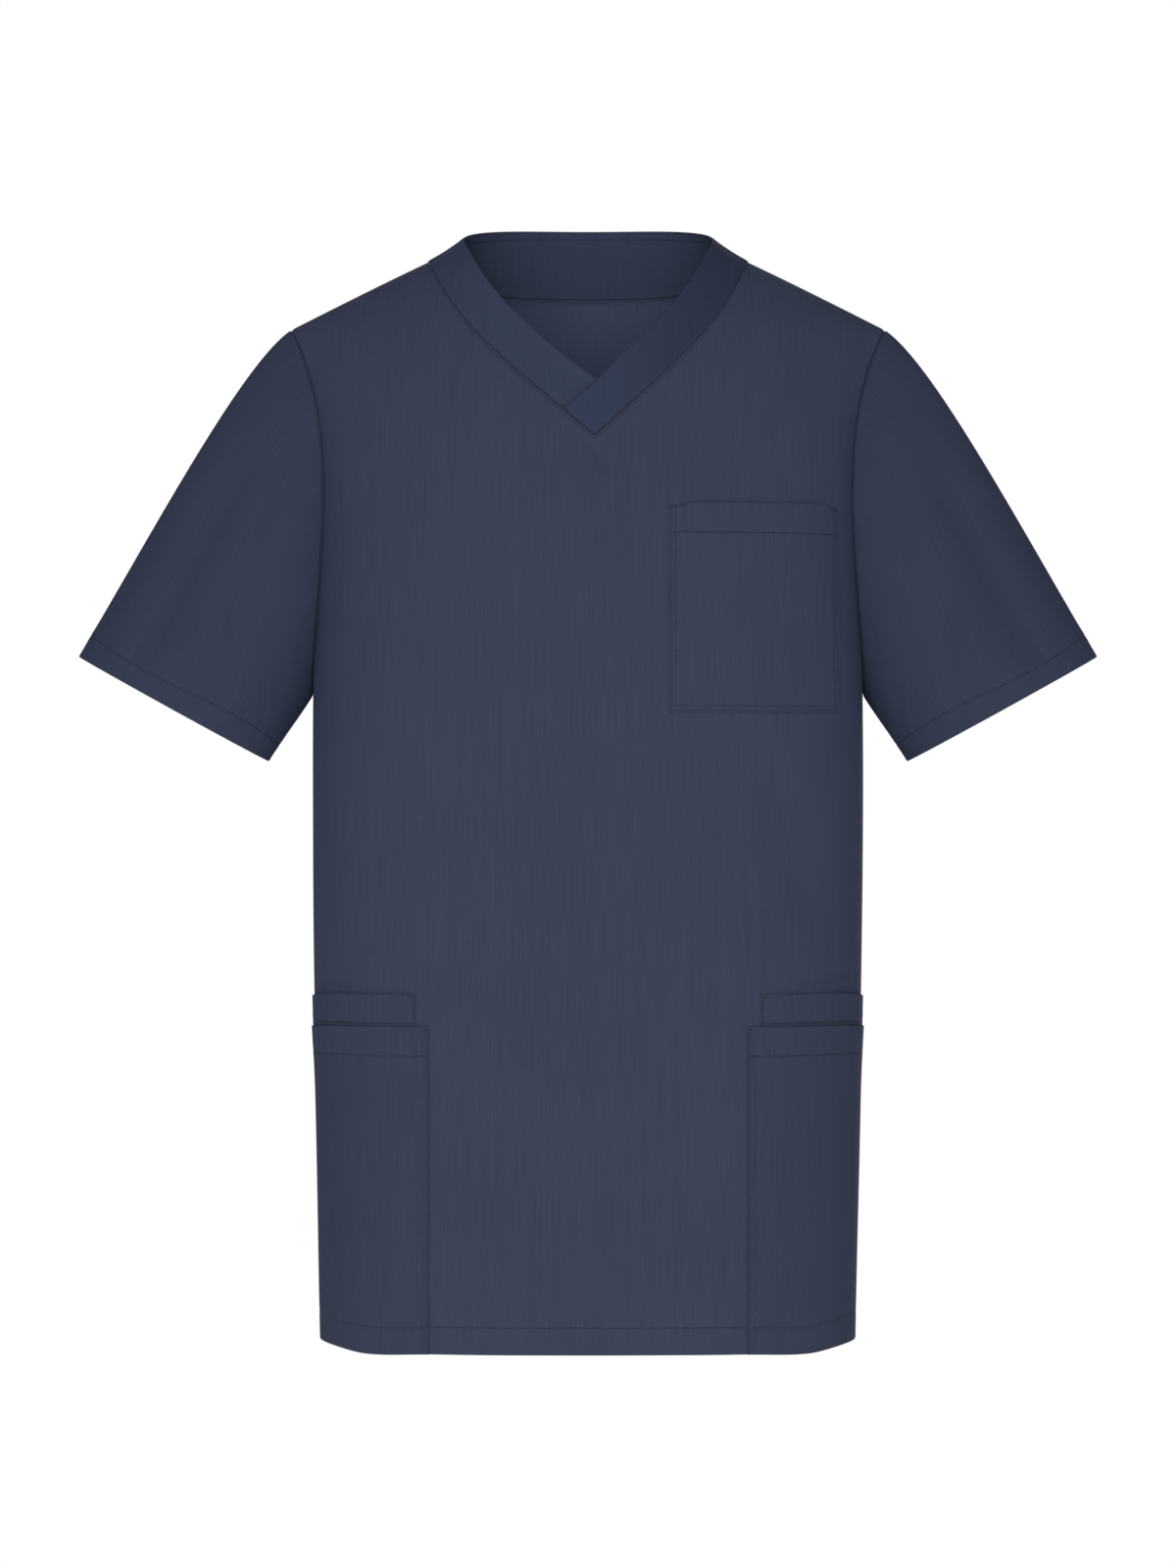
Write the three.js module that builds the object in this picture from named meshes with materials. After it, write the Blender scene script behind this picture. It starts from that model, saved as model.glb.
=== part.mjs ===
// Medical scrubs tunic: a short-sleeved V-neck top, hollow as worn, with a lapped neckband, one breast
// pocket and two layered pockets at the hem. Millimetres, +Z up, the front faces -Y and the wearer's
// left is +X. The origin lies midway between the two high shoulder points, where shoulders carry it.
import * as THREE from "three";

// Cloth and sewing
const WALL = 1.5; // body, sleeves and neckband
const POCKET_WALL = 1.2;
const SEAM_GAP = 0.3;
const HEM_EXTRA = 0.8; // more cloth on the inside of a turned hem
const LONGEST_MITRE = 2.2; // in walls, where two pieces meet at a sharp angle

// Heights and half widths
const HEM_Z = -768;
const HEM_FOLD = 19;
const HEM_STEP = 4; // the fold's thickness ends over this height
const UNDERARM_Z = -308;
const BREAST_Z = -178.2; // the armhole's middle and the breast pocket's mouth
const TIP = { x: 212, z: -48.3 }; // shoulder tip, where the sleeve begins
const NECK_X = 114; // high shoulder point, at the origin's height
const V_POINT = { x: 4.7, z: -129.6 };
const INNER_V = { x: 6.5, z: -90.5 };
const BACK_NECK_DROP = 21;

// Sections of the body from the hem to the underarm: half width at the side seams, depth of the front
// and the back at the middle, and how square the corners are (2 is an ellipse).
const BODY_SECTIONS = [
  { z: -768, halfWidth: 188.8, front: 122, back: 119, square: 3.1 },
  { z: -680, halfWidth: 190.6, front: 121, back: 116, square: 3.1 },
  { z: -589, halfWidth: 192.6, front: 119.5, back: 112.5, square: 3.0 },
  { z: -530, halfWidth: 194.3, front: 118.5, back: 110, square: 3.0 },
  { z: -420, halfWidth: 195.6, front: 118, back: 109.5, square: 2.9 },
  { z: -308, halfWidth: 195.6, front: 118, back: 112, square: 2.8 },
  { z: -243, halfWidth: 193.7, front: 116, back: 111.5, square: 2.7 },
  { z: -178.2, halfWidth: 193, front: 111, back: 107, square: 2.6 },
];
const TOP_SQUARE = 2.3; // corners of the last section, along the shoulder seams
const TOP_TURN = THREE.MathUtils.degToRad(58); // how far round the last section runs before the armhole
// Rounding of the chest and the upper back towards the shoulders, as a superellipse.
const UPPER_BODY = {
  front: { depth: 118, rise: 2.2 },
  back: { depth: 112, rise: 2.5 },
};
const RIDGE_BOW = 0.25; // softness of the shoulder line where it passes the neck

// Armhole, an oval in side view
const ARMHOLE = { halfHeight: UNDERARM_Z - BREAST_Z, front: 42, back: 46 };
const ARMHOLE_FLARE = 2.6; // power of the curve from the mid armhole out to the shoulder tip

// Sleeve: the cuff's ends in front view, its half depth, and how each long line of the sleeve sets out
// from the armhole and arrives at the cuff (top, side and under).
const CUFF = { top: { x: 363.7, z: -281.4 }, under: { x: 227.9, z: -356.3 }, halfDepth: 41, fold: 17 };
const SLEEVE_LINES = {
  top: { start: [105, 0, -68], end: [143, 0, -238] },
  side: { start: [92, 34, -118], end: [85, -14, -155] },
  under: { start: [30, 0, -50], end: [30, 0, -50] },
};

// Neckband: its width on the front, how far it stands up from the cloth at the high shoulder point, and
// its free edge at the middle of the back.
const BAND = { width: 29.5, stand: 10, backEdge: { y: 75, z: 29.3 }, lapRise: WALL + 0.8 };

// Columns of the panels, as distances along the cloth from the centre front. The outer ones share what
// is left up to the side seam or the armhole.
const LAP_END = -17; // the left band's lap reaches this column
const BREAST_POCKET = { from: 56.3, to: 187, bottom: -322.7 };
const SIDE_POCKET = { from: 111, mouth: -541 };
const FRONT_COLUMNS = [17, 31, 44, BREAST_POCKET.from, 74, 92.5, 103, SIDE_POCKET.from, 117];
const BACK_COLUMNS = [24, 48, 70, 88, 102, 112];
const SHOULDER_COLUMNS = [137, 154, 171, BREAST_POCKET.to];
const OUTER_SHARES = [0.36, 0.7, 1];
const INNER_POCKET_MOUTH = -518.5;

// Levels of the panels. Above the breast line they count up to the shoulder tip.
const HEM_LEVELS = [HEM_Z, HEM_Z + HEM_FOLD, HEM_Z + HEM_FOLD + HEM_STEP];
const FRONT_LEVELS = [
  ...[-700, -650, -600, -565, SIDE_POCKET.mouth, INNER_POCKET_MOUTH],
  ...[-470, -420, -370, BREAST_POCKET.bottom],
];
const BACK_LEVELS = [-690, -620, -550, -480, -410, -350];
const ARMHOLE_STEPS = 8; // from the underarm to the breast line, and again to the tip

// Soft folds: where a trough starts and ends in front view, its half width and its depth (negative is
// a ridge).
const FRONT_FOLDS = [
  { x0: 128, z0: -345, x1: 152, z1: -470, halfWidth: 20, depth: 3.2 },
  { x0: -132, z0: -360, x1: -150, z1: -455, halfWidth: 18, depth: 2.0 },
  { x0: 96, z0: -390, x1: 104, z1: -520, halfWidth: 22, depth: -1.6 },
  { x0: -60, z0: -560, x1: -72, z1: -700, halfWidth: 26, depth: 1.6 },
  { x0: 20, z0: -150, x1: 52, z1: -250, halfWidth: 16, depth: 1.6 },
];
const BACK_FOLDS = [
  { x0: -96, z0: -170, x1: -120, z1: -420, halfWidth: 24, depth: 3.4 },
  { x0: 104, z0: -190, x1: 122, z1: -450, halfWidth: 22, depth: 3.0 },
  { x0: -38, z0: -330, x1: -50, z1: -650, halfWidth: 28, depth: 2.4 },
  { x0: 46, z0: -380, x1: 60, z1: -690, halfWidth: 26, depth: 2.0 },
];
// On a sleeve: angle round it from its top line, in degrees, at two shares of its length.
const SLEEVE_FOLDS = [
  { from: 0.3, to: 0.97, angle0: 46, angle1: 62, halfWidth: 11, depth: 4.2 },
  { from: 0.1, to: 0.66, angle0: 62, angle1: 96, halfWidth: 10, depth: 3.0 },
  { from: 0.35, to: 0.95, angle0: 78, angle1: 84, halfWidth: 10, depth: -1.8 },
  { from: 0.2, to: 0.9, angle0: -60, angle1: -66, halfWidth: 12, depth: 4.0 },
  { from: 0.1, to: 0.6, angle0: -84, angle1: -104, halfWidth: 11, depth: 3.0 },
];
// Pocket mouths stand open a little: how far, at the middle of the mouth.
const GAPE = { inner: 2.4, outer: 2.0, breast: 0.8, reach: 55 };

const FRONT = -1;
const BACK = 1;
const { degToRad, lerp, clamp, smoothstep } = THREE.MathUtils;
const point = (x, y, z) => new THREE.Vector3(x, y, z);
const nameOf = (side) => (side === FRONT ? "front" : "back");

// A smooth curve through one column of a table of sections.
function fromSections(column, z) {
  const rows = BODY_SECTIONS;
  let i = 0;
  while (i < rows.length - 2 && z > rows[i + 1].z) i++;
  const slope = (k) => {
    const a = rows[Math.max(0, k - 1)];
    const b = rows[Math.min(rows.length - 1, k + 1)];
    return (b[column] - a[column]) / (b.z - a.z);
  };
  const span = rows[i + 1].z - rows[i].z;
  const t = (z - rows[i].z) / span;
  return hermite(rows[i][column], rows[i + 1][column], slope(i) * span, slope(i + 1) * span, t);
}

function hermite(a, b, slopeA, slopeB, t) {
  const t2 = t * t;
  const t3 = t2 * t;
  return a * (2 * t3 - 3 * t2 + 1) + b * (3 * t2 - 2 * t3) + slopeA * (t3 - 2 * t2 + t) + slopeB * (t3 - t2);
}

// Depth of the body's middle at a height, on the front or the back.
const ridgeShare = (r) => (Math.hypot(r, RIDGE_BOW) - RIDGE_BOW) / (Math.hypot(1, RIDGE_BOW) - RIDGE_BOW);
const neckShare = ridgeShare(NECK_X / TIP.x);
const RIDGE_MID_Z = (-TIP.z * neckShare) / (1 - neckShare);

function depthAt(side, z) {
  if (z < UNDERARM_Z) return fromSections(nameOf(side), z);
  const { depth, rise } = UPPER_BODY[nameOf(side)];
  const r = clamp((z - UNDERARM_Z) / (RIDGE_MID_Z - UNDERARM_Z), 0, 1);
  return depth * Math.sqrt(1 - r ** rise);
}

const riseOf = (level) => clamp((level - BREAST_Z) / (TIP.z - BREAST_Z), 0, 1);

// One section of the panel: its middle, its end at the side seam or the armhole, and its roundness.
function sectionAt(side, level) {
  const rise = riseOf(level);
  const scoop = ARMHOLE[nameOf(side)];
  if (rise === 0) {
    const down = (level - BREAST_Z) / ARMHOLE.halfHeight;
    const depth = depthAt(side, level);
    const square = fromSections("square", level);
    const cut = scoop * Math.sqrt(Math.max(0, 1 - down * down));
    const turn = Math.acos((cut / depth) ** (square / 2));
    const xEnd = fromSections("halfWidth", level) * Math.sin(turn) ** (2 / square);
    return { xEnd, yEnd: cut, yMid: depth, zMid: level, zEnd: level, square, turn };
  }
  const below = sectionAt(side, BREAST_Z);
  const along = (rise * Math.PI) / 2;
  const speed = ((TIP.z - BREAST_Z) * Math.PI) / 2;
  const zMid = hermite(BREAST_Z, RIDGE_MID_Z, speed, 0, rise);
  return {
    xEnd: below.xEnd + (TIP.x - below.xEnd) * Math.sin(along) ** ARMHOLE_FLARE,
    yEnd: scoop * Math.cos(along),
    yMid: depthAt(side, zMid),
    zMid,
    zEnd: BREAST_Z + (TIP.z - BREAST_Z) * Math.sin(along),
    square: lerp(below.square, TOP_SQUARE, rise),
    turn: lerp(below.turn, TOP_TURN, rise * rise),
  };
}

// A section as close points from the middle to its end, with the length of cloth up to each.
const SECTION_SAMPLES = 160;
const sectionCache = new Map();
function sectionLine(side, level) {
  const key = `${side} ${level}`;
  if (!sectionCache.has(key)) {
    const s = sectionAt(side, level);
    const power = 2 / s.square;
    const edge = Math.cos(s.turn) ** power;
    const points = [];
    for (let i = 0; i <= SECTION_SAMPLES; i++) {
      const angle = (s.turn * i) / SECTION_SAMPLES;
      const across = (Math.sin(angle) / Math.sin(s.turn)) ** power;
      const out = (Math.max(0, Math.cos(angle)) ** power - edge) / (1 - edge);
      const z = lerp(s.zMid, s.zEnd, ridgeShare(across));
      points.push(point(s.xEnd * across, side * (s.yEnd + (s.yMid - s.yEnd) * out), z));
    }
    const lengths = [0];
    points.slice(1).forEach((p, i) => lengths.push(lengths[i] + p.distanceTo(points[i])));
    sectionCache.set(key, { points, lengths, total: lengths.at(-1) });
  }
  return sectionCache.get(key);
}

// The point of a section at a distance along the cloth from its middle, to the left or the right.
function alongSection(side, level, distance) {
  const { points, lengths, total } = sectionLine(side, level);
  const reach = clamp(Math.abs(distance), 0, total);
  let i = 1;
  while (i < SECTION_SAMPLES && lengths[i] < reach) i++;
  const p = points[i - 1].clone().lerp(points[i], (reach - lengths[i - 1]) / (lengths[i] - lengths[i - 1]));
  if (distance < 0) p.x = -p.x;
  return p;
}

// A column is a distance along the cloth, or a share of the cloth outside the last such distance.
function columnDistance(side, level, column) {
  if (column.share === undefined) return column.at;
  const last = SHOULDER_COLUMNS.at(-1);
  return column.hand * lerp(last, sectionLine(side, level).total, column.share);
}

// Depth of the soft folds at a place, fading out towards the cloth's edges.
function foldDepth(folds, x, z) {
  return folds.reduce((sum, f) => {
    const along = point(f.x1 - f.x0, 0, f.z1 - f.z0);
    const from = point(x - f.x0, 0, z - f.z0);
    const t = from.dot(along) / along.lengthSq();
    const off = Math.abs(from.x * along.z - from.z * along.x) / along.length();
    const ends = smoothstep(t, -0.15, 0.3) * (1 - smoothstep(t, 0.7, 1.15));
    return sum + f.depth * ends * Math.exp(-((off / f.halfWidth) ** 2));
  }, 0);
}

// The panel's outer surface: the place and the outward direction of one grid point.
function onPanel(side, level, column) {
  const STEP = 0.5;
  const at = (dLevel, dReach) => {
    const l = clamp(level + dLevel, HEM_Z, TIP.z);
    return alongSection(side, l, columnDistance(side, l, column) + dReach);
  };
  const total = sectionLine(side, level).total;
  const reach = columnDistance(side, level, column);
  const left = reach > total - STEP ? 0 : STEP;
  const right = reach < STEP - total ? 0 : -STEP;
  const across = at(0, left).sub(at(0, right));
  const [low, high] = level > TIP.z - STEP ? [-STEP, 0] : [0, STEP];
  const up = at(high, 0).sub(at(low, 0));
  const n = across.cross(up).normalize().multiplyScalar(-side);
  const p = at(0, 0);
  const fade = smoothstep(total - Math.abs(reach), 4, 40);
  const folds = side === FRONT ? FRONT_FOLDS : BACK_FOLDS;
  p.addScaledVector(n, -foldDepth(folds, p.x, p.z) * fade);
  return { p, n };
}

// Height of the neckline seam above a place in front view.
function necklineZ(side, x) {
  if (side === BACK) return -BACK_NECK_DROP * (1 - Math.abs(x / NECK_X) ** 4);
  const q = x > V_POINT.x ? (x - V_POINT.x) / (NECK_X - V_POINT.x) : (V_POINT.x - x) / (NECK_X + V_POINT.x);
  return V_POINT.z * (1 - 0.78 * q - 0.22 * q ** 6);
}

// Level at which a column runs into a height that depends on where it is across the body.
function levelWhere(side, distance, heightAt) {
  let low = BREAST_Z;
  let high = TIP.z;
  for (let i = 0; i < 40; i++) {
    const mid = (low + high) / 2;
    const p = alongSection(side, mid, distance);
    if (p.z < heightAt(p.x)) low = mid;
    else high = mid;
  }
  return low;
}

// The column that runs up to the high shoulder point.
function neckColumn() {
  const { points, lengths } = sectionLine(FRONT, TIP.z);
  const i = points.findIndex((p) => p.x > NECK_X);
  return lerp(lengths[i - 1], lengths[i], (NECK_X - points[i - 1].x) / (points[i].x - points[i - 1].x));
}
const NECK_AT = neckColumn();

function columnsOf(inner, middle) {
  const half = (hand) => [
    ...[...inner, NECK_AT, ...SHOULDER_COLUMNS].map((d) => ({ at: hand * d })),
    ...OUTER_SHARES.map((share) => ({ share, hand })),
  ];
  return [...half(-1).reverse(), { at: middle }, ...half(1)];
}
const FRONT_SET = columnsOf(FRONT_COLUMNS, V_POINT.x);
const BACK_SET = columnsOf(BACK_COLUMNS, 0);

// Levels of the armhole's points, and the angle of each on the oval from the tip.
const armholeSteps = Array.from({ length: 2 * ARMHOLE_STEPS + 1 }, (_, i) => i);
const armholeAngles = armholeSteps.map((i) => Math.PI * (1 - i / (2 * ARMHOLE_STEPS)));
function armholeLevel(angle) {
  if (angle >= Math.PI / 2) return BREAST_Z - ARMHOLE.halfHeight * Math.cos(angle);
  return lerp(TIP.z, BREAST_Z, angle / (Math.PI / 2));
}
const armholeLevels = armholeAngles.map(armholeLevel);
const FRONT_ROWS = [...HEM_LEVELS, ...FRONT_LEVELS, ...armholeLevels];
const BACK_ROWS = [...HEM_LEVELS, ...BACK_LEVELS, ...armholeLevels];

// Level of a grid row in one column: columns inside the neck end on the neckline.
function levelIn(side, level, column) {
  if (level <= BREAST_Z || column.at === undefined || Math.abs(column.at) >= NECK_AT - 1e-6) return level;
  const top = levelWhere(side, column.at, (x) => necklineZ(side, x));
  return lerp(BREAST_Z, top, riseOf(level));
}

const panelGrid = (side, rows, columns) =>
  rows.map((level) => columns.map((column) => onPanel(side, levelIn(side, level, column), column)));

// The armhole as the body has it: angle 0 at the tip, growing over the front to the underarm, and
// negative over the back.
function onArmhole(hand, angle) {
  const side = angle >= 0 ? FRONT : BACK;
  return onPanel(side, armholeLevel(Math.abs(angle)), { share: 1, hand });
}

// A sleeve's outer surface. Share 0 is the armhole and 1 the cuff's edge.
const sleeveVector = (key, part, hand, y) => {
  const [dx, dy, dz] = SLEEVE_LINES[key][part];
  return point(hand * dx, y * dy, dz);
};
function bareSleeve(hand, angle, share) {
  const c = Math.cos(angle);
  const s = Math.sin(angle);
  const weights = { top: Math.max(c, 0) ** 2, side: s * s, under: Math.max(-c, 0) ** 2 };
  const tangent = (part) => {
    const sum = point(0, 0, 0);
    for (const key in weights) {
      sum.addScaledVector(sleeveVector(key, part, hand, -Math.sign(s)), weights[key]);
    }
    return sum;
  };
  const middle = point((CUFF.top.x + CUFF.under.x) / 2, 0, (CUFF.top.z + CUFF.under.z) / 2);
  const arm = point(CUFF.top.x, 0, CUFF.top.z).sub(middle);
  const cuff = middle.clone().addScaledVector(arm, c).add(point(0, -CUFF.halfDepth * s, 0));
  cuff.x *= hand;
  const from = onArmhole(hand, angle).p;
  const [m0, m1] = [tangent("start"), tangent("end")];
  return point(
    hermite(from.x, cuff.x, m0.x, m1.x, share),
    hermite(from.y, cuff.y, m0.y, m1.y, share),
    hermite(from.z, cuff.z, m0.z, m1.z, share),
  );
}

function onSleeve(hand, angle, share) {
  const STEP = 0.01;
  const wrap = (a) => (a > Math.PI ? a - 2 * Math.PI : a <= -Math.PI ? a + 2 * Math.PI : a);
  const round = bareSleeve(hand, wrap(angle + STEP), share).sub(bareSleeve(hand, wrap(angle - STEP), share));
  const [low, high] = share > 1 - STEP ? [-STEP, 0] : [0, STEP];
  const along = bareSleeve(hand, angle, share + high).sub(bareSleeve(hand, angle, share + low));
  const n = round.cross(along).normalize().multiplyScalar(hand);
  const p = bareSleeve(hand, angle, share);
  const depth = SLEEVE_FOLDS.reduce((sum, f) => {
    const t = (share - f.from) / (f.to - f.from);
    const off = THREE.MathUtils.radToDeg(angle) - lerp(f.angle0, f.angle1, t);
    const ends = smoothstep(t, -0.1, 0.35) * (1 - smoothstep(t, 0.75, 1.1));
    return sum + f.depth * ends * Math.exp(-((off / f.halfWidth) ** 2));
  }, 0);
  return { p: p.addScaledVector(n, -depth), n };
}

// The inner edge of a wall where two or more pieces meet, so that all end on one shared plane.
function mitre(...normals) {
  const middle = normals.reduce((sum, n) => sum.add(n), point(0, 0, 0)).normalize();
  const slant = Math.min(...normals.map((n) => n.dot(middle)));
  return middle.multiplyScalar(-Math.min(WALL / slant, LONGEST_MITRE * WALL));
}

// The pieces that meet along the top of the panels: band on panel, front on back, and the corners.
function topSeam(side, column) {
  const here = onPanel(side, levelIn(side, TIP.z, column), column).n;
  const other = () => onPanel(-side, TIP.z, column).n;
  if (column.share === 1) return mitre(here, other(), onSleeve(column.hand, 0, 0).n);
  const reach = column.share === undefined ? Math.abs(column.at) : Infinity;
  if (reach > NECK_AT) return mitre(here, other());
  const bands = bandNormals.get(columnKey(side, column));
  return reach === NECK_AT ? mitre(here, other(), ...bands) : mitre(here, ...bands);
}

// Moves one edge point back from its seam by half the gap, along the cloth towards a neighbour.
function easeBack(cell, neighbour) {
  const inward = neighbour.p.clone().sub(cell.p).normalize();
  const across = cell.inner ? cell.inner.clone().normalize() : cell.n;
  const slant = Math.max(0.25, inward.clone().cross(across).length());
  cell.shift = (cell.shift ?? point(0, 0, 0)).addScaledVector(inward, SEAM_GAP / 2 / slant);
}

// A closed wall from a grid of outer points. A cell's inner point lies its own wall behind it.
function wallGeometry(grid, wallAt, closed = false) {
  const rows = grid.length;
  const columns = grid[0].length;
  const positions = [];
  const put = (p) => positions.push(p.x, p.y, p.z);
  const outer = (cell) => cell.p.clone().add(cell.shift ?? point(0, 0, 0));
  const inward = (i, cell) => cell.inner ?? cell.n.clone().multiplyScalar(-wallAt(i, cell));
  grid.forEach((row) => row.forEach((cell) => put(outer(cell))));
  grid.forEach((row, i) => row.forEach((cell) => put(outer(cell).add(inward(i, cell)))));
  const back = rows * columns;
  const id = (i, j) => i * columns + (j % columns);
  const faces = [];
  const apart = (a, b) => Math.hypot(...[0, 1, 2].map((k) => positions[3 * a + k] - positions[3 * b + k]));
  const quad = (a, b, c, d) => {
    if (apart(a, c) <= 1.25 * apart(b, d)) faces.push(a, b, c, a, c, d);
    else faces.push(a, b, d, b, c, d);
  };
  const lastColumn = closed ? columns : columns - 1;
  const end = columns - 1;
  for (let i = 0; i < rows - 1; i++) {
    for (let j = 0; j < lastColumn; j++) {
      quad(id(i, j), id(i, j + 1), id(i + 1, j + 1), id(i + 1, j));
      quad(back + id(i, j), back + id(i + 1, j), back + id(i + 1, j + 1), back + id(i, j + 1));
    }
    if (!closed) {
      quad(id(i, 0), id(i + 1, 0), back + id(i + 1, 0), back + id(i, 0));
      quad(id(i + 1, end), id(i, end), back + id(i, end), back + id(i + 1, end));
    }
  }
  for (let j = 0; j < lastColumn; j++) {
    quad(id(0, j + 1), id(0, j), back + id(0, j), back + id(0, j + 1));
    quad(id(rows - 1, j), id(rows - 1, j + 1), back + id(rows - 1, j + 1), back + id(rows - 1, j));
  }
  const geometry = new THREE.BufferGeometry();
  geometry.setAttribute("position", new THREE.Float32BufferAttribute(positions, 3));
  if (signedVolume(positions, faces) < 0) faces.reverse();
  geometry.setIndex(faces);
  geometry.computeVertexNormals();
  return geometry;
}

function signedVolume(positions, faces) {
  const at = (k) => point(positions[3 * k], positions[3 * k + 1], positions[3 * k + 2]);
  let volume = 0;
  for (let i = 0; i < faces.length; i += 3) {
    const [a, b, c] = faces.slice(i, i + 3).map(at);
    volume += a.dot(b.cross(c));
  }
  return volume;
}

const hemWall = (z) => WALL + HEM_EXTRA * (1 - smoothstep(z, HEM_Z + HEM_FOLD, HEM_Z + HEM_FOLD + HEM_STEP));

// Front or back panel, with its edges eased back from the side seams, armholes, shoulders and neckline.
function panel(side, rows, columns) {
  const grid = panelGrid(side, rows, columns);
  const underarm = rows.length - armholeLevels.length;
  const top = rows.length - 1;
  const last = columns.length - 1;
  for (const [edge, hand] of [[0, -1], [last, 1]]) {
    rows.forEach((_, i) => {
      const cell = grid[i][edge];
      if (i >= underarm) {
        const angle = armholeAngles[i - underarm] * -side;
        cell.inner = mitre(cell.n, onSleeve(hand, angle || 0, 0).n);
      }
      easeBack(cell, grid[i][edge === 0 ? 1 : last - 1]);
    });
  }
  grid[top].forEach((cell, j) => {
    cell.inner = topSeam(side, columns[j]);
    easeBack(cell, grid[top - 1][j]);
  });
  return wallGeometry(grid, (i, cell) => hemWall(cell.p.z));
}

// A sleeve: a tube of long lines from the armhole to the cuff, thicker at the cuff's turned hem.
const SLEEVE_SHARES = [0, 0.05, 0.13, 0.23, 0.34, 0.45, 0.56, 0.67, 0.78, 0.89, 1];
function sleeve(hand) {
  const around = [...armholeAngles, ...armholeAngles.slice(1, -1).reverse().map((a) => -a)];
  const rowsOf = (angle) => {
    const length = onSleeve(hand, angle, 0).p.distanceTo(onSleeve(hand, angle, 1).p);
    const fold = 1 - CUFF.fold / length;
    const step = 1 - (CUFF.fold + HEM_STEP) / length;
    return [...SLEEVE_SHARES.map((s) => s * step), fold, 1].map((share) => onSleeve(hand, angle, share));
  };
  const lines = around.map(rowsOf);
  const grid = lines[0].map((_, i) => lines.map((line) => line[i]));
  grid[0].forEach((cell, j) => {
    const atTip = around[j] === 0;
    cell.inner = atTip ? topSeam(FRONT, { share: 1, hand }) : mitre(cell.n, onArmhole(hand, around[j]).n);
    easeBack(cell, grid[1][j]);
  });
  const folded = grid.length - 2;
  return wallGeometry(grid, (i) => (i >= folded ? WALL + HEM_EXTRA : WALL), true);
}

// The neckline seam: a point of the panel's top edge with its outward direction.
function onNeckline(side, distance) {
  const column = { at: distance };
  return onPanel(side, levelIn(side, TIP.z, column), column);
}

// The front neckband's free edge beside a point of the neckline. The band lies in the cloth's own
// surface, turned up a little the nearer it comes to the shoulder.
function frontEdge(distance) {
  const here = onNeckline(FRONT, distance);
  const STEP = 1.5;
  const near = Math.abs(distance) > NECK_AT - STEP;
  if (near) here.n.add(onNeckline(BACK, distance).n).normalize();
  const towards = Math.sign(distance) || 1;
  const beside = (side, step) => onNeckline(side, distance + towards * step).p;
  const ahead = beside(FRONT, -STEP);
  const behind = near ? beside(BACK, -STEP) : beside(FRONT, STEP);
  const inSurface = ahead.sub(behind).normalize().cross(here.n).normalize();
  if (inSurface.z < 0) inSurface.negate();
  const turn = degToRad(BAND.stand) * smoothstep(Math.abs(distance) / NECK_AT, 0.4, 1);
  const direction = inSurface.multiplyScalar(Math.cos(turn)).addScaledVector(here.n, Math.sin(turn));
  return here.p.clone().addScaledVector(direction, BAND.width);
}

// The back neckband's free edge, a smooth half oval from one shoulder to the other.
function backEdge(distance) {
  const shoulder = frontEdge(NECK_AT);
  const round = (Math.PI / 2) * (1 - Math.abs(distance) / NECK_AT);
  const x = Math.sign(distance) * shoulder.x * Math.cos(round);
  const climb = 1 - (1 - Math.sin(round)) ** 1.5;
  return point(x, BAND.backEdge.y * Math.sin(round), lerp(shoulder.z, BAND.backEdge.z, climb));
}

// The inner point of the V, on the cloth's surface as if it ran on above the neckline.
function innerV() {
  const level = levelWhere(FRONT, INNER_V.x, () => INNER_V.z);
  return alongSection(FRONT, level, INNER_V.x);
}

const BAND_STEPS = 4;
const BAND_BOW = 0.7;

// A strip between the neckline and a free edge: one row of cells for each pair of points.
function bandGrid(pairs) {
  const bare = pairs.map(({ seam, edge }) =>
    Array.from({ length: BAND_STEPS + 1 }, (_, j) => seam.clone().lerp(edge, j / BAND_STEPS)),
  );
  return bare.map((row, i) =>
    row.map((p, j) => {
      const a = bare[Math.max(0, i - 1)][j];
      const b = bare[Math.min(bare.length - 1, i + 1)][j];
      const along = b.clone().sub(a);
      const up = row[Math.min(BAND_STEPS, j + 1)].clone().sub(row[Math.max(0, j - 1)]);
      const n = along.cross(up).normalize();
      if (n.dot(pairs[i].normal) < 0) n.negate();
      const share = j / BAND_STEPS;
      const bow = i === 0 || i === bare.length - 1 ? 0 : BAND_BOW;
      const lift = (pairs[i].lift ?? 0) - bow * 4 * share * (1 - share);
      return { p: p.clone().addScaledVector(n, lift), n };
    }),
  );
}

const columnKey = (side, column) => `${Math.abs(column.at) === NECK_AT ? "both" : nameOf(side)} ${column.at}`;

// One front half of the neckband, from the high shoulder point down to the V.
function frontBandPairs(hand) {
  const middle = innerV();
  const straight = FRONT_COLUMNS[2];
  return [NECK_AT, ...[...FRONT_COLUMNS].reverse(), null].map((d) => {
    const distance = d === null ? V_POINT.x : hand * d;
    const seam = onNeckline(FRONT, distance);
    let edge = middle;
    if (d !== null && d >= straight) edge = frontEdge(distance);
    else if (d !== null) {
      const share = (hand * d - V_POINT.x) / (hand * straight - V_POINT.x);
      edge = middle.clone().lerp(frontEdge(hand * straight), share);
    }
    const lift = hand > 0 ? BAND.lapRise * (1 - smoothstep(distance, 12, 62)) : 0;
    return { seam: seam.p, edge, normal: seam.n, lift, column: { at: distance } };
  });
}

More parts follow.
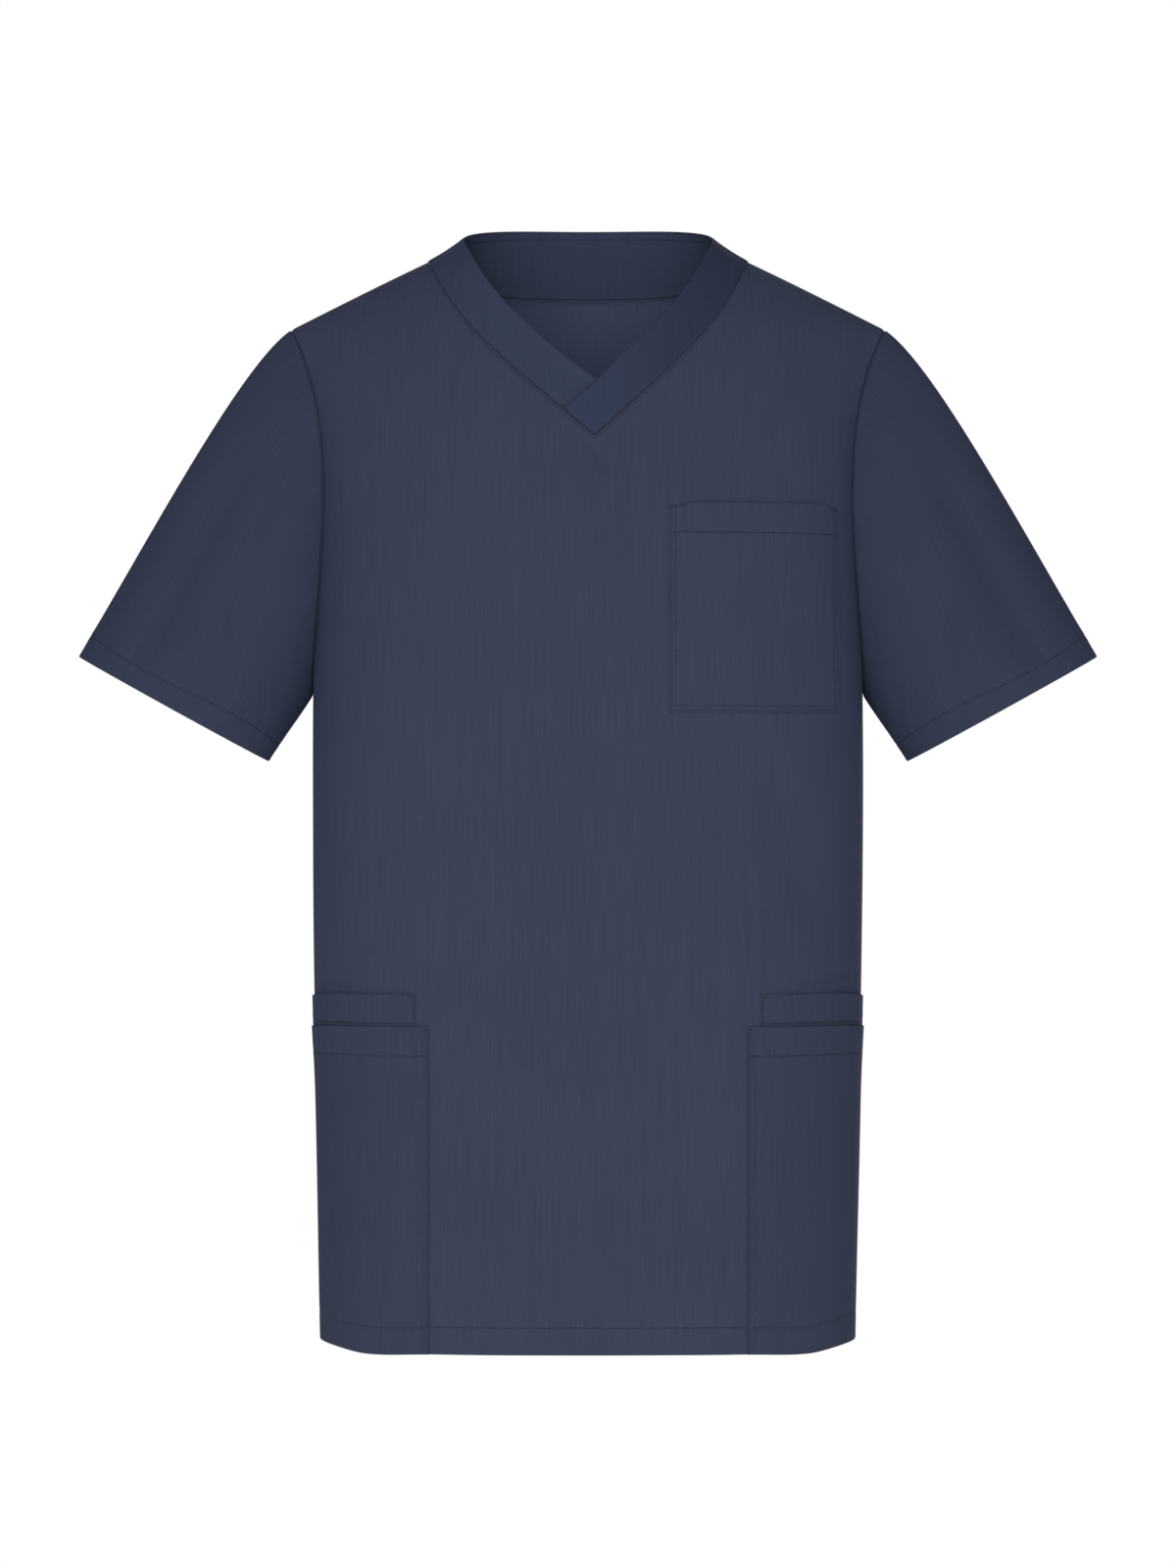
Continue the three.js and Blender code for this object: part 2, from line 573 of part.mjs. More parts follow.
// The end of the left band that laps over the right one, narrowing to a point on the right neckline.
function lapPairs() {
  const LAP_STEPS = 3;
  const TIP_WIDTH = 1.6;
  const to = onNeckline(FRONT, LAP_END);
  const middle = innerV();
  const tip = to.p.clone().add(middle.clone().sub(to.p).setLength(TIP_WIDTH));
  return Array.from({ length: LAP_STEPS }, (_, i) => {
    const share = (i + 1) / LAP_STEPS;
    const seam = onNeckline(FRONT, lerp(V_POINT.x, LAP_END, share));
    return { seam: seam.p, edge: middle.clone().lerp(tip, share), normal: seam.n, lift: BAND.lapRise };
  });
}

const halfBack = [...BACK_COLUMNS, NECK_AT];
const backBandPairs = [...[...halfBack].reverse().map((d) => -d), 0, ...halfBack].map((d) => {
  const seam = onNeckline(BACK, d);
  return { seam: seam.p, edge: backEdge(d), normal: seam.n, column: { at: d } };
});

// The outward direction of each band where it meets the neckline, shared with the panels' edges.
const bandNormals = new Map();
function bandPiece(side, pairs) {
  const grid = bandGrid(pairs);
  pairs.forEach(({ column }, i) => {
    if (!column) return;
    const key = columnKey(side, column);
    bandNormals.set(key, [...(bandNormals.get(key) ?? []), grid[i][0].n.clone()]);
  });
  return { side, pairs, grid };
}

// Two bands' ends that meet on a shoulder share one slanted plane.
function joinEnds(rowA, rowB) {
  rowA.forEach((cell, j) => {
    cell.inner = mitre(cell.n, rowB[j].n);
    rowB[j].inner = cell.inner;
  });
}

function bandGeometry({ side, pairs, grid }) {
  const last = grid.length - 1;
  grid.forEach((row, i) => {
    const { column } = pairs[i];
    if (column && !pairs[i].lift) row[0].inner = topSeam(side, column);
    easeBack(row[0], row[1]);
  });
  grid[0].forEach((cell, j) => easeBack(cell, grid[1][j]));
  grid[last].forEach((cell, j) => easeBack(cell, grid[last - 1][j]));
  return wallGeometry(grid, () => WALL);
}

// A patch pocket: the panel's own grid points, moved out over a piece of it.
function patch(rows, columns, liftAt) {
  const grid = panelGrid(FRONT, rows, columns);
  grid.forEach((row, i) =>
    row.forEach((cell, j) => {
      cell.p.addScaledVector(cell.n, liftAt(i, j, cell.p) + POCKET_WALL);
    }),
  );
  grid.forEach((row) => {
    if (columns[0].share === 1) easeBack(row[0], row[1]);
    if (columns.at(-1).share === 1) easeBack(row.at(-1), row.at(-2));
  });
  return wallGeometry(grid, () => POCKET_WALL);
}

// How far a pocket's mouth stands open, at a share of its width and a height.
function gape(amount, across, z, mouth) {
  return amount * Math.sin(Math.PI * clamp(across, 0, 1)) * (1 - smoothstep(mouth - z, 0, GAPE.reach));
}

function breastPocket() {
  const rows = FRONT_ROWS.filter((z) => z >= BREAST_POCKET.bottom && z <= BREAST_Z);
  const columns = FRONT_SET.filter((c) => c.at >= BREAST_POCKET.from && c.at <= BREAST_POCKET.to);
  const width = BREAST_POCKET.to - BREAST_POCKET.from;
  return patch(rows, columns, (i, j, p) =>
    SEAM_GAP + gape(GAPE.breast, (columns[j].at - BREAST_POCKET.from) / width, p.z, BREAST_Z));
}

// The pocket under the wide one, seen only at its mouth.
const isSide = (hand, from) => (c) => (c.share !== undefined ? c.hand === hand : hand * c.at >= from - 1e-6);
const innerLift = (across, z) => SEAM_GAP + gape(GAPE.inner, across, z, INNER_POCKET_MOUTH);
const acrossOf = (columns, hand, j) => (hand > 0 ? j : columns.length - 1 - j) / (columns.length - 1);

function innerPocket(hand) {
  const rows = FRONT_ROWS.filter((z) => z <= INNER_POCKET_MOUTH);
  const columns = FRONT_SET.filter(isSide(hand, NECK_AT));
  return patch(rows, columns, (i, j, p) => innerLift(acrossOf(columns, hand, j), p.z));
}

// The wide pocket: its inner edge is sewn to the front, and the rest lies over the narrow pocket.
function sidePocket(hand) {
  const rows = FRONT_ROWS.filter((z) => z <= SIDE_POCKET.mouth);
  const columns = FRONT_SET.filter(isSide(hand, SIDE_POCKET.from));
  return patch(rows, columns, (i, j, p) => {
    const inFrom = hand > 0 ? j : columns.length - 1 - j;
    if (inFrom === 0) return SEAM_GAP;
    const across = (inFrom - 1) / (columns.length - 2);
    const onInner = innerLift(across, p.z) + POCKET_WALL + SEAM_GAP;
    return onInner + gape(GAPE.outer, across, p.z, SIDE_POCKET.mouth);
  });
}

// Materials: one dyed poplin cloth, a shade deeper on the doubled neckband.
const cloth = (color) => new THREE.MeshStandardMaterial({ color, roughness: 0.85, metalness: 0 });
const poplin = () => cloth("#3d4457");
const doubledPoplin = () => cloth("#383f52");

const tunic = new THREE.Group();
function add(name, geometry, material = poplin()) {
  const mesh = new THREE.Mesh(geometry, material);
  mesh.name = name;
  tunic.add(mesh);
}

const leftBand = bandPiece(FRONT, [...frontBandPairs(1), ...lapPairs()]);
const rightBand = bandPiece(FRONT, frontBandPairs(-1));
const backBand = bandPiece(BACK, backBandPairs);
joinEnds(leftBand.grid[0], backBand.grid.at(-1));
joinEnds(rightBand.grid[0], backBand.grid[0]);

add("front_panel", panel(FRONT, FRONT_ROWS, FRONT_SET));
add("back_panel", panel(BACK, BACK_ROWS, BACK_SET));
add("sleeve_left", sleeve(1));
add("sleeve_right", sleeve(-1));
add("neckband_left", bandGeometry(leftBand), doubledPoplin());
add("neckband_right", bandGeometry(rightBand), doubledPoplin());
add("neckband_back", bandGeometry(backBand), doubledPoplin());
add("breast_pocket", breastPocket());
add("inner_pocket_left", innerPocket(1));
add("inner_pocket_right", innerPocket(-1));
add("side_pocket_left", sidePocket(1));
add("side_pocket_right", sidePocket(-1));

export default tunic;
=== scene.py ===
"""A short-sleeved V-neck scrub top in navy poplin, hollow as worn, sewn from twelve pieces of cloth.

Sizes are millimetres in the tables and functions, and turn to metres where a mesh is made. +Z is up, the
front faces -Y and the wearer's left is +X. The origin lies midway between the two high shoulder points.
"""

import math

import bmesh
import bpy
import numpy as np
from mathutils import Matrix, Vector


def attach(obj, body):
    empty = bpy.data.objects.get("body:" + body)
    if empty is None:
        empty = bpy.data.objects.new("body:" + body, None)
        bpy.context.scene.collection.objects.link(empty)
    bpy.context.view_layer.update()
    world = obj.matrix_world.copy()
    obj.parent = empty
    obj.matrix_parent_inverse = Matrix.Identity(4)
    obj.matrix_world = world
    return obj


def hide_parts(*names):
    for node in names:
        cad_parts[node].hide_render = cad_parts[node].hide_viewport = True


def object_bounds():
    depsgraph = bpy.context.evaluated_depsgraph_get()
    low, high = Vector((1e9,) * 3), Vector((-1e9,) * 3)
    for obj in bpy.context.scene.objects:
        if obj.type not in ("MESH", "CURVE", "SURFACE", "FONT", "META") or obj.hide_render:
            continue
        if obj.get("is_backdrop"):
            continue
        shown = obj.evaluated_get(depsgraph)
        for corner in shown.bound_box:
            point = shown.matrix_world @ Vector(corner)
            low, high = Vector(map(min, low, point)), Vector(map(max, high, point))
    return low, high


bl_info = {
    "name": "Scrub Top",
    "version": (1, 0, 0),
    "blender": (4, 5, 0),
    "location": "View3D > Sidebar > Scrub Top",
    "description": "Sews a medical scrub top, piece by piece, and lights it in a white studio",
    "category": "Add Mesh",
}

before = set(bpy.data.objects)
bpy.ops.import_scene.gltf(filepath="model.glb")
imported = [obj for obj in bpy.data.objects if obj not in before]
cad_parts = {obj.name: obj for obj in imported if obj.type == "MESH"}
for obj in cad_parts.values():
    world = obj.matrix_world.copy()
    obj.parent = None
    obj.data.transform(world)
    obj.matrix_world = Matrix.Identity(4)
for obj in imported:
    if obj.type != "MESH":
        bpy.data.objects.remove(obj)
CAD_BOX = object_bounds()
MM = 0.001
FRONT, BACK = -1, 1
LEFT, RIGHT = 1, -1

# Heights and half widths of the garment
HEM_Z = -768.0
HEM_FOLD = 19.0
UNDERARM_Z = -308.0
BREAST_Z = -178.2
TIP_X, TIP_Z = 212.0, -48.3
NECK_X = 114.0
V_X, V_Z = 4.7, -129.6
INNER_V_X, INNER_V_Z = 6.5, -90.5
V_STRAIGHT, V_CURVED = 0.78, 0.22  # shares of the V's height that run straight and curve in at the top
BACK_NECK_DROP = 21.0

# Sections of the body: height, half width at the side seams, depth of front and back at the middle, and
# how square the corners are (2 is an ellipse).
SECTION_COLUMNS = ("z", "half_width", "front", "back", "square")
BODY_SECTIONS = (
    (-768.0, 188.8, 122.0, 119.0, 3.1),
    (-680.0, 190.6, 121.0, 116.0, 3.1),
    (-589.0, 192.6, 119.5, 112.5, 3.0),
    (-530.0, 194.3, 118.5, 110.0, 3.0),
    (-420.0, 195.6, 118.0, 109.5, 2.9),
    (-308.0, 195.6, 118.0, 112.0, 2.8),
    (-243.0, 193.7, 116.0, 111.5, 2.7),
    (-178.2, 193.0, 111.0, 107.0, 2.6),
)
TOP_SQUARE = 2.3
TOP_TURN = math.radians(58)
UPPER_BODY = {FRONT: (118.0, 2.2), BACK: (112.0, 2.5)}  # depth of the chest or back, and how it rounds over
RIDGE_BOW = 0.25
ARMHOLE_HALF_HEIGHT = UNDERARM_Z - BREAST_Z
ARMHOLE_SCOOP = {FRONT: 42.0, BACK: 46.0}
ARMHOLE_FLARE = 2.6

# The cuff's two ends in front view, and how each long line of a sleeve leaves the armhole and meets it
CUFF_TOP, CUFF_UNDER = (363.7, -281.4), (227.9, -356.3)
CUFF_HALF_DEPTH = 41.0
CUFF_FOLD, CUFF_UNDER_FOLD = 17.0, 14.6  # depth of its turned hem at the top and at the underarm
SLEEVE_STARTS = {"top": (105, 0, -68), "side": (92, 34, -118), "under": (30, 0, -50)}
SLEEVE_ENDS = {"top": (143, 0, -238), "side": (85, -14, -155), "under": (30, 0, -50)}

BAND_WIDTH = 29.5
BAND_STAND = math.radians(10)
BAND_BACK_Y, BAND_BACK_Z = 75.0, 29.3  # its free edge at the middle of the back
BAND_CLIMB = 1.5  # how soon it has climbed to that height
BAND_LIFT = 1.9  # how far the lapping end lies above the band under it
LAP_END = -17.0

# Pockets, as distances along the cloth from the centre front, and heights
BREAST_FROM, BREAST_TO, BREAST_BOTTOM, BREAST_MOUTH = 56.3, 187.0, -322.7, -177.0
SIDE_FROM, SIDE_MOUTH, INNER_MOUTH = 111.0, -541.0, -518.5
OUTER_FROM = 187.0  # past this column the cloth is shared out up to the armhole
POCKET_LIFT = 0.9  # the outside of a patch pocket above the panel
SECOND_LIFT = 0.8  # and of the wide pocket above the narrow one
POCKET_HEM = 20.5

# Soft folds in the panels: where each starts and ends in front view (x, z, x, z), half width, and depth
FOLDS = {
    FRONT: (
        (128, -345, 152, -470, 20, 3.2),
        (-132, -360, -150, -455, 18, 2.0),
        (96, -390, 104, -520, 22, -1.6),
        (-60, -560, -72, -700, 26, 1.6),
        (20, -150, 52, -250, 16, 1.6),
        (0, -134, 14, -159, 4.5, 1.5),
        (150, -512, 186, -507, 4, 1.6),
        (-165, -514, -187, -511, 3.5, 1.2),
    ),
    BACK: (
        (-96, -170, -120, -420, 24, 3.4),
        (104, -190, 122, -450, 22, 3.0),
        (-38, -330, -50, -650, 28, 2.4),
        (46, -380, 60, -690, 26, 2.0),
    ),
}
# Soft folds in a sleeve: from one share of its length to another, with the angle round it from its top
SLEEVE_FOLDS = (
    (0.3, 0.97, 46, 62, 11, 4.2),
    (0.1, 0.66, 62, 96, 10, 3.0),
    (0.35, 0.95, 78, 84, 10, -1.8),
    (0.2, 0.9, -60, -66, 12, 4.0),
    (0.1, 0.6, -84, -104, 11, 3.0),
)

# Where a fold deepens and where it fades, as shares of its length
FOLD_STARTS, FOLD_ENDS = (-0.15, 0.3), (0.7, 1.15)
SLEEVE_FOLD_STARTS, SLEEVE_FOLD_ENDS = (-0.1, 0.35), (0.75, 1.1)
SHARP_FOLD, CREASE_WIDTH, CREASE_SHADE = 5.0, 2.4, 0.22  # narrower folds are creases, with shade painted along them
# How far from a side seam or armhole folds and waves begin, and are at their full depth
FOLDS_FREE, DRAPE_FREE = (4, 40), (2, 30)

# Long soft waves in the panels: depth, distance across and down for one radian, start, and the back's shift
DRAPE_WAVES = (
    (0.42, 23.0, 210.0, 0.0, 1.7),
    (0.30, 13.7, -160.0, 2.1, 1.7),
    (0.16, 41.0, 38.0, 0.6, 0.0),
)
DRAPE_STARTS, DRAPE_FULL = 120, 420  # below the shoulders
# The hem's rise at the side seams and its sag in front of them: how much, and where across the garment
HEM_RISE, HEM_RISE_STARTS, HEM_RISE_ENDS = 3.4, 152, 188
HEM_SAG, HEM_SAG_AT, HEM_SAG_WIDTH = 1.2, 146, 22
HEM_WAVE_TOP = (20, 150)  # heights above the hem between which both fade out

# Sewing
SEAM_GROOVE = 0.9
SOFT_GROOVE = 0.6  # share of it beside the neckband
GROOVE_WIDTH = 1.3
STITCH_DIP = 0.22
DIP_WIDTH, POCKET_HEM_DIP_WIDTH, HEM_DIP_WIDTH = 0.9, 1.0, 1.1
PUCKER_WAVES = ((1.0, 1.25, 0.0), (0.8, 1.93, 1.3))  # share, distance along the line for one radian, start
HEM_PUCKER, NECK_PUCKER = (6.0, 0.16), (5.0, 0.12)  # reach beside the line, and depth
NECK_PUCKER_OFF = 2.0  # its middle from the neckline
NECK_RUN = 1.2  # length along the neckline for each mm of height
POCKET_HEM_PUCKER, POCKET_PUCKER = (5.0, 0.14), (3.0, 0.07)
TOPSTITCHES = (1.6, 4.6)  # a pocket's two lines of topstitching, from its edge

FRAME_HEIGHT, PIXEL_SIZE = 1600, 0.7  # the picture's height in pixels, and what one shows at the shoulders

# Studio, in metres; the camera's sensor is in millimetres
SENSOR_WIDTH, VIEW_REACH = 36.0, 30.0
FLOOR_RADIUS = 2.4
LIGHT_SIZE = 3.0
LIGHTS = {"front_light": (-0.3, -4.2, 0.35), "back_light": (0.3, 4.2, 0.35)}
GARMENT_MIDDLE = (0, 0, -0.37)


def near(off, width):
    """1 on a line, and less the further off it, with almost nothing left past twice the width."""
    return np.exp(-((off / width) ** 2))


def smoothstep(x, low, high):
    t = np.clip((np.asarray(x, float) - low) / (high - low), 0, 1)
    return t * t * (3 - 2 * t)


def hermite(a, b, slope_a, slope_b, t):
    """A curve from a to b that leaves and arrives with the given slopes."""
    t2 = t * t
    t3 = t2 * t
    ends = a * (2 * t3 - 3 * t2 + 1) + b * (3 * t2 - 2 * t3)
    return ends + slope_a * (t3 - 2 * t2 + t) + slope_b * (t3 - t2)


def mix(a, b, t):
    return a + (b - a) * t


def unit(v):
    return v / np.maximum(np.linalg.norm(v, axis=-1, keepdims=True), 1e-9)


def stops(*points):
    """Values that run through the given (value, step) stops, about a step apart after each stop."""
    values = []
    for (start, step), (end, _) in zip(points, points[1:]):
        count = max(1, round(abs(end - start) / step))
        values.extend(np.linspace(start, end, count, endpoint=False))
    return np.array(values + [points[-1][0]])


def from_sections(column, z):
    """A smooth curve through one column of the body's sections."""
    rows = np.array(BODY_SECTIONS)
    heights, values = rows[:, 0], rows[:, SECTION_COLUMNS.index(column)]
    last = len(heights) - 1
    before, after = np.maximum(np.arange(last + 1) - 1, 0), np.minimum(np.arange(last + 1) + 1, last)
    slopes = (values[after] - values[before]) / (heights[after] - heights[before])
    i = np.clip(np.searchsorted(heights, z, side="left") - 1, 0, last - 1)
    span = heights[i + 1] - heights[i]
    return hermite(values[i], values[i + 1], slopes[i] * span, slopes[i + 1] * span, (z - heights[i]) / span)


def ridge_share(r):
    """How far the shoulder line has come down at a share of its way out: rounded at first, then straight."""
    return (np.hypot(r, RIDGE_BOW) - RIDGE_BOW) / (math.hypot(1, RIDGE_BOW) - RIDGE_BOW)


NECK_SHARE = float(ridge_share(NECK_X / TIP_X))
RIDGE_MID_Z = -TIP_Z * NECK_SHARE / (1 - NECK_SHARE)


def depth_at(side, z):
    """Depth of the front or the back at the middle, which rounds over above the underarm."""
    depth, rise = UPPER_BODY[side]
    r = np.clip((z - UNDERARM_Z) / (RIDGE_MID_Z - UNDERARM_Z), 0, 1)
    upper = depth * np.sqrt(1 - r**rise)
    return np.where(z < UNDERARM_Z, from_sections("front" if side == FRONT else "back", z), upper)


class Panel:
    """The outside of the front or the back, as close tables of points and outward directions."""

    SAMPLES = 500
    CROWDING = 1.5  # samples stand closer near the middle
    SHARES = 260

    def __init__(self, side):
        self.side = side
        self.levels = stops((HEM_Z, 2.0), (BREAST_Z, 0.8), (TIP_Z, 1))
        rise = np.clip((self.levels - BREAST_Z) / (TIP_Z - BREAST_Z), 0, 1)
        down = np.clip((self.levels - BREAST_Z) / ARMHOLE_HALF_HEIGHT, 0, 1)
        scoop = ARMHOLE_SCOOP[side]
        low_z = np.minimum(self.levels, BREAST_Z)
        square = from_sections("square", low_z)
        depth = depth_at(side, low_z)
        cut = scoop * np.sqrt(1 - down**2)
        turn = np.arccos((cut / depth) ** (square / 2))
        x_end = from_sections("half_width", low_z) * np.sin(turn) ** (2 / square)
        breast = np.searchsorted(self.levels, BREAST_Z + 1e-6) - 1
        along = rise * math.pi / 2
        speed = (TIP_Z - BREAST_Z) * math.pi / 2
        z_mid = np.where(rise > 0, hermite(BREAST_Z, RIDGE_MID_Z, speed, 0, rise), low_z)
        z_end = np.where(rise > 0, BREAST_Z + (TIP_Z - BREAST_Z) * np.sin(along), low_z)
        flare = (TIP_X - x_end[breast]) * np.sin(along) ** ARMHOLE_FLARE
        x_end = np.where(rise > 0, x_end[breast] + flare, x_end)
        y_end = np.where(rise > 0, scoop * np.cos(along), cut)
        y_mid = depth_at(side, z_mid)
        square = mix(square, TOP_SQUARE, rise)
        turn = mix(turn, TOP_TURN, rise**2)
        t = np.linspace(0, 1, self.SAMPLES) ** self.CROWDING
        angle = turn[:, None] * t
        power = (2 / square)[:, None]
        edge = np.cos(turn)[:, None] ** power
        across = (np.sin(angle) / np.sin(turn)[:, None]) ** power
        out = (np.maximum(np.cos(angle), 0) ** power - edge) / (1 - edge)
        x = x_end[:, None] * across
        y = side * (y_end[:, None] + (y_mid - y_end)[:, None] * out)
        z = mix(z_mid[:, None], z_end[:, None], ridge_share(across))
        line = np.stack([x, y, z], -1)
        steps = np.linalg.norm(np.diff(line, axis=1), axis=2)
        lengths = np.concatenate([np.zeros((len(line), 1)), np.cumsum(steps, axis=1)], axis=1)
        self.total = lengths[:, -1]
        even = np.linspace(0, 1, self.SHARES)
        self.points = np.stack(
            [[np.interp(even * row[-1], row, p[:, k]) for k in range(3)] for row, p in zip(lengths, line)]
        ).transpose(0, 2, 1)
        normal = np.cross(np.gradient(self.points, axis=1), np.gradient(self.points, axis=0)) * -side
        normal[:, 0, 0] = 0
        self.normals = unit(normal)

    def length(self, level):
        """Length of cloth from the middle to the side seam or the armhole."""
        return np.interp(level, self.levels, self.total)

    def bare(self, level, distance):
        """Points and outward directions of the smooth form, at distances along the cloth."""
        level, distance = np.broadcast_arrays(np.asarray(level, float), np.asarray(distance, float))
        row = np.interp(level, self.levels, np.arange(len(self.levels)))
        share = np.clip(np.abs(distance) / self.length(level), 0, 1) * (self.SHARES - 1)
        i = np.minimum(row.astype(int), len(self.levels) - 2)
        j = np.minimum(share.astype(int), self.SHARES - 2)
        a, b = (row - i)[..., None], (share - j)[..., None]

        def pick(table):
            low = mix(table[i, j], table[i, j + 1], b)
            return mix(low, mix(table[i + 1, j], table[i + 1, j + 1], b), a)

        mirror = np.where(distance < 0, -1.0, 1.0)[..., None] * np.array([1, 0, 0]) + np.array([0, 1, 1])
        return pick(self.points) * mirror, unit(pick(self.normals) * mirror)

    def at(self, level, distance, lift=0.0):
        """Points of the sewn cloth, with its folds, and their outward directions."""
        p, n = self.bare(level, distance)
        to_seam = self.length(level) - np.abs(distance)
        soft = fold_depth(FOLDS[self.side], p[..., 0], p[..., 2]) * smoothstep(to_seam, *FOLDS_FREE)
        soft = soft - drape(p[..., 0], p[..., 2], self.side) * smoothstep(to_seam, *DRAPE_FREE)
        raised = hem_rise(p[..., 0], p[..., 2])[..., None] * np.array([0, 0, 1])
        return p + raised + n * (np.asarray(lift) - soft)[..., None], n


def faded(t, starts, ends):
    """A fold's depth along it, as a share of the deepest."""
    return smoothstep(t, *starts) * (1 - smoothstep(t, *ends))


def fold_depth(folds, x, z):
    """How deep the given folds are at points in front view."""
    total = np.zeros_like(x)
    for x0, z0, x1, z1, half_width, depth in folds:
        length = math.hypot(x1 - x0, z1 - z0)
        t = ((x - x0) * (x1 - x0) + (z - z0) * (z1 - z0)) / length**2
        off = ((x - x0) * (z1 - z0) - (z - z0) * (x1 - x0)) / length
        total = total + depth * faded(t, FOLD_STARTS, FOLD_ENDS) * near(off, half_width)
    return total


def hem_rise(x, z):
    """The hem is sewn a little higher at the side seams, and sags a little in front of them."""
    across = np.abs(x)
    rise = HEM_RISE * smoothstep(across, HEM_RISE_STARTS, HEM_RISE_ENDS)
    sag = HEM_SAG * near(across - HEM_SAG_AT, HEM_SAG_WIDTH)
    return (rise - sag) * (1 - smoothstep(z - HEM_Z, *HEM_WAVE_TOP))


def drape(x, z, side):
    """Slight unevenness of hanging cloth: long soft waves that run down the garment."""
    waves = 0
    for depth, across, down, start, back_shift in DRAPE_WAVES:
        shift = back_shift if side == BACK else 0.0
        waves = waves + depth * np.sin(x / across + z / down + start + shift)
    return waves * smoothstep(-z, DRAPE_STARTS, DRAPE_FULL)


def pucker(along, off, reach, depth):
    """Small puckers that a line of stitches draws up beside itself."""
    waves = sum(share * np.sin(along / length + start) for share, length, start in PUCKER_WAVES)
    return depth * waves * near(off, reach)


PANELS = {side: Panel(side) for side in (FRONT, BACK)}


def neck_distance():
    """How far along the shoulder's cloth the neckline meets it."""
    along = np.linspace(0, 260, 2601)
    x, _ = PANELS[FRONT].bare(TIP_Z, along)
    return float(np.interp(NECK_X, x[:, 0], along))


NECK_AT = neck_distance()
HALVINGS = 40  # steps of a search between two levels


def neckline_z(side, x):
    """Height of the neckline in front view: the V in front, and a shallow scoop at the back."""
    if side == BACK:
        return -BACK_NECK_DROP * (1 - np.abs(x / NECK_X) ** 4)
    q = np.where(x > V_X, (x - V_X) / (NECK_X - V_X), (V_X - x) / (NECK_X + V_X))
    return V_Z * (1 - V_STRAIGHT * q - V_CURVED * q**6)


def top_level(side, distance):
    """Level at which a column ends: on the neckline inside the neck, or on the shoulder seam."""
    distance = np.asarray(distance, float)
    low, high = np.full(distance.shape, BREAST_Z), np.full(distance.shape, TIP_Z)
    for _ in range(HALVINGS):
        middle = (low + high) / 2
        p, _ = PANELS[side].bare(middle, distance)
        under = p[..., 2] < neckline_z(side, p[..., 0])
        low, high = np.where(under, middle, low), np.where(under, high, middle)
    return np.where(np.abs(distance) >= NECK_AT, TIP_Z, low)


def armhole_level(angle):
    """Level of a point of the armhole, by its angle from the shoulder tip."""
    angle = np.abs(angle)
    low = BREAST_Z - ARMHOLE_HALF_HEIGHT * np.cos(angle)
    return np.where(angle >= math.pi / 2, low, mix(TIP_Z, BREAST_Z, angle / (math.pi / 2)))


def armhole(hand, angle):
    """The armhole seam, by angle: over the front down to the underarm, and negative over the back."""
    angle = np.asarray(angle, float)
    level = armhole_level(angle)
    front = PANELS[FRONT].bare(level, hand * PANELS[FRONT].length(level))
    back = PANELS[BACK].bare(level, hand * PANELS[BACK].length(level))
    over_front = (angle >= 0)[..., None]
    return np.where(over_front, front[0], back[0]), np.where(over_front, front[1], back[1])


def sleeve_bare(hand, angle, share):
    """Points of the smooth sleeve, by angle round it and share of the way from the armhole to the cuff."""
    c, s = np.cos(angle), np.sin(angle)
    weights = {"top": np.maximum(c, 0) ** 2, "side": s * s, "under": np.maximum(-c, 0) ** 2}

    def tangent(table):
        total = 0
        for key, weight in weights.items():
            x, y, z = table[key]
            way = np.stack([np.full_like(s, hand * x), -np.sign(s) * y, np.full_like(s, z)], -1)
            total = total + way * weight[..., None]
        return total

    middle = ((CUFF_TOP[0] + CUFF_UNDER[0]) / 2, (CUFF_TOP[1] + CUFF_UNDER[1]) / 2)
    reach = (CUFF_TOP[0] - middle[0], CUFF_TOP[1] - middle[1])
    cuff = np.stack([hand * (middle[0] + reach[0] * c), -CUFF_HALF_DEPTH * s, middle[1] + reach[1] * c], -1)
    start, _ = armhole(hand, angle)
    return hermite(start, cuff, tangent(SLEEVE_STARTS), tangent(SLEEVE_ENDS), share[..., None])


def sleeve_at(hand, angle, share, lift=0.0):
    """Points of a sleeve and their outward directions. Share 0 is the armhole and 1 the cuff's edge."""
    angle, share = np.broadcast_arrays(np.asarray(angle, float), np.asarray(share, float))
    step = 0.01
    turned = [(angle + d + math.pi) % (2 * math.pi) - math.pi for d in (step, -step)]
    around = sleeve_bare(hand, turned[0], share) - sleeve_bare(hand, turned[1], share)
    low = np.where(share > 1 - step, share - step, share)
    along = sleeve_bare(hand, angle, low + step) - sleeve_bare(hand, angle, low)
    n = unit(np.cross(around, along) * hand)
    depth = np.zeros_like(angle)
    for start, end, angle0, angle1, half_width, fold in SLEEVE_FOLDS:
        t = (share - start) / (end - start)
        off = np.degrees(angle) - mix(angle0, angle1, t)
        depth = depth + fold * faded(t, SLEEVE_FOLD_STARTS, SLEEVE_FOLD_ENDS) * near(off, half_width)
    return sleeve_bare(hand, angle, share) + n * (np.asarray(lift) - depth)[..., None], n


def linear(hex_colour):
    """An sRGB hex colour as the linear values that a shader takes."""
    parts = [int(hex_colour[i:i + 2], 16) / 255 for i in (1, 3, 5)]
    return tuple(c / 12.92 if c <= 0.04045 else ((c + 0.055) / 1.055) ** 2.4 for c in parts) + (1.0,)


def add_node(tree, kind, settings=None, links=None):
    """Adds a node, sets its properties and inputs, and links its inputs, by name or by number."""
    node = tree.nodes.new(kind)
    for key, value in (settings or {}).items():
        if isinstance(key, str) and hasattr(node, key) and key not in node.inputs:
            setattr(node, key, value)
        else:
            node.inputs[key].default_value = value
    for key, socket in (links or {}).items():
        tree.links.new(socket, node.inputs[key])
    return node


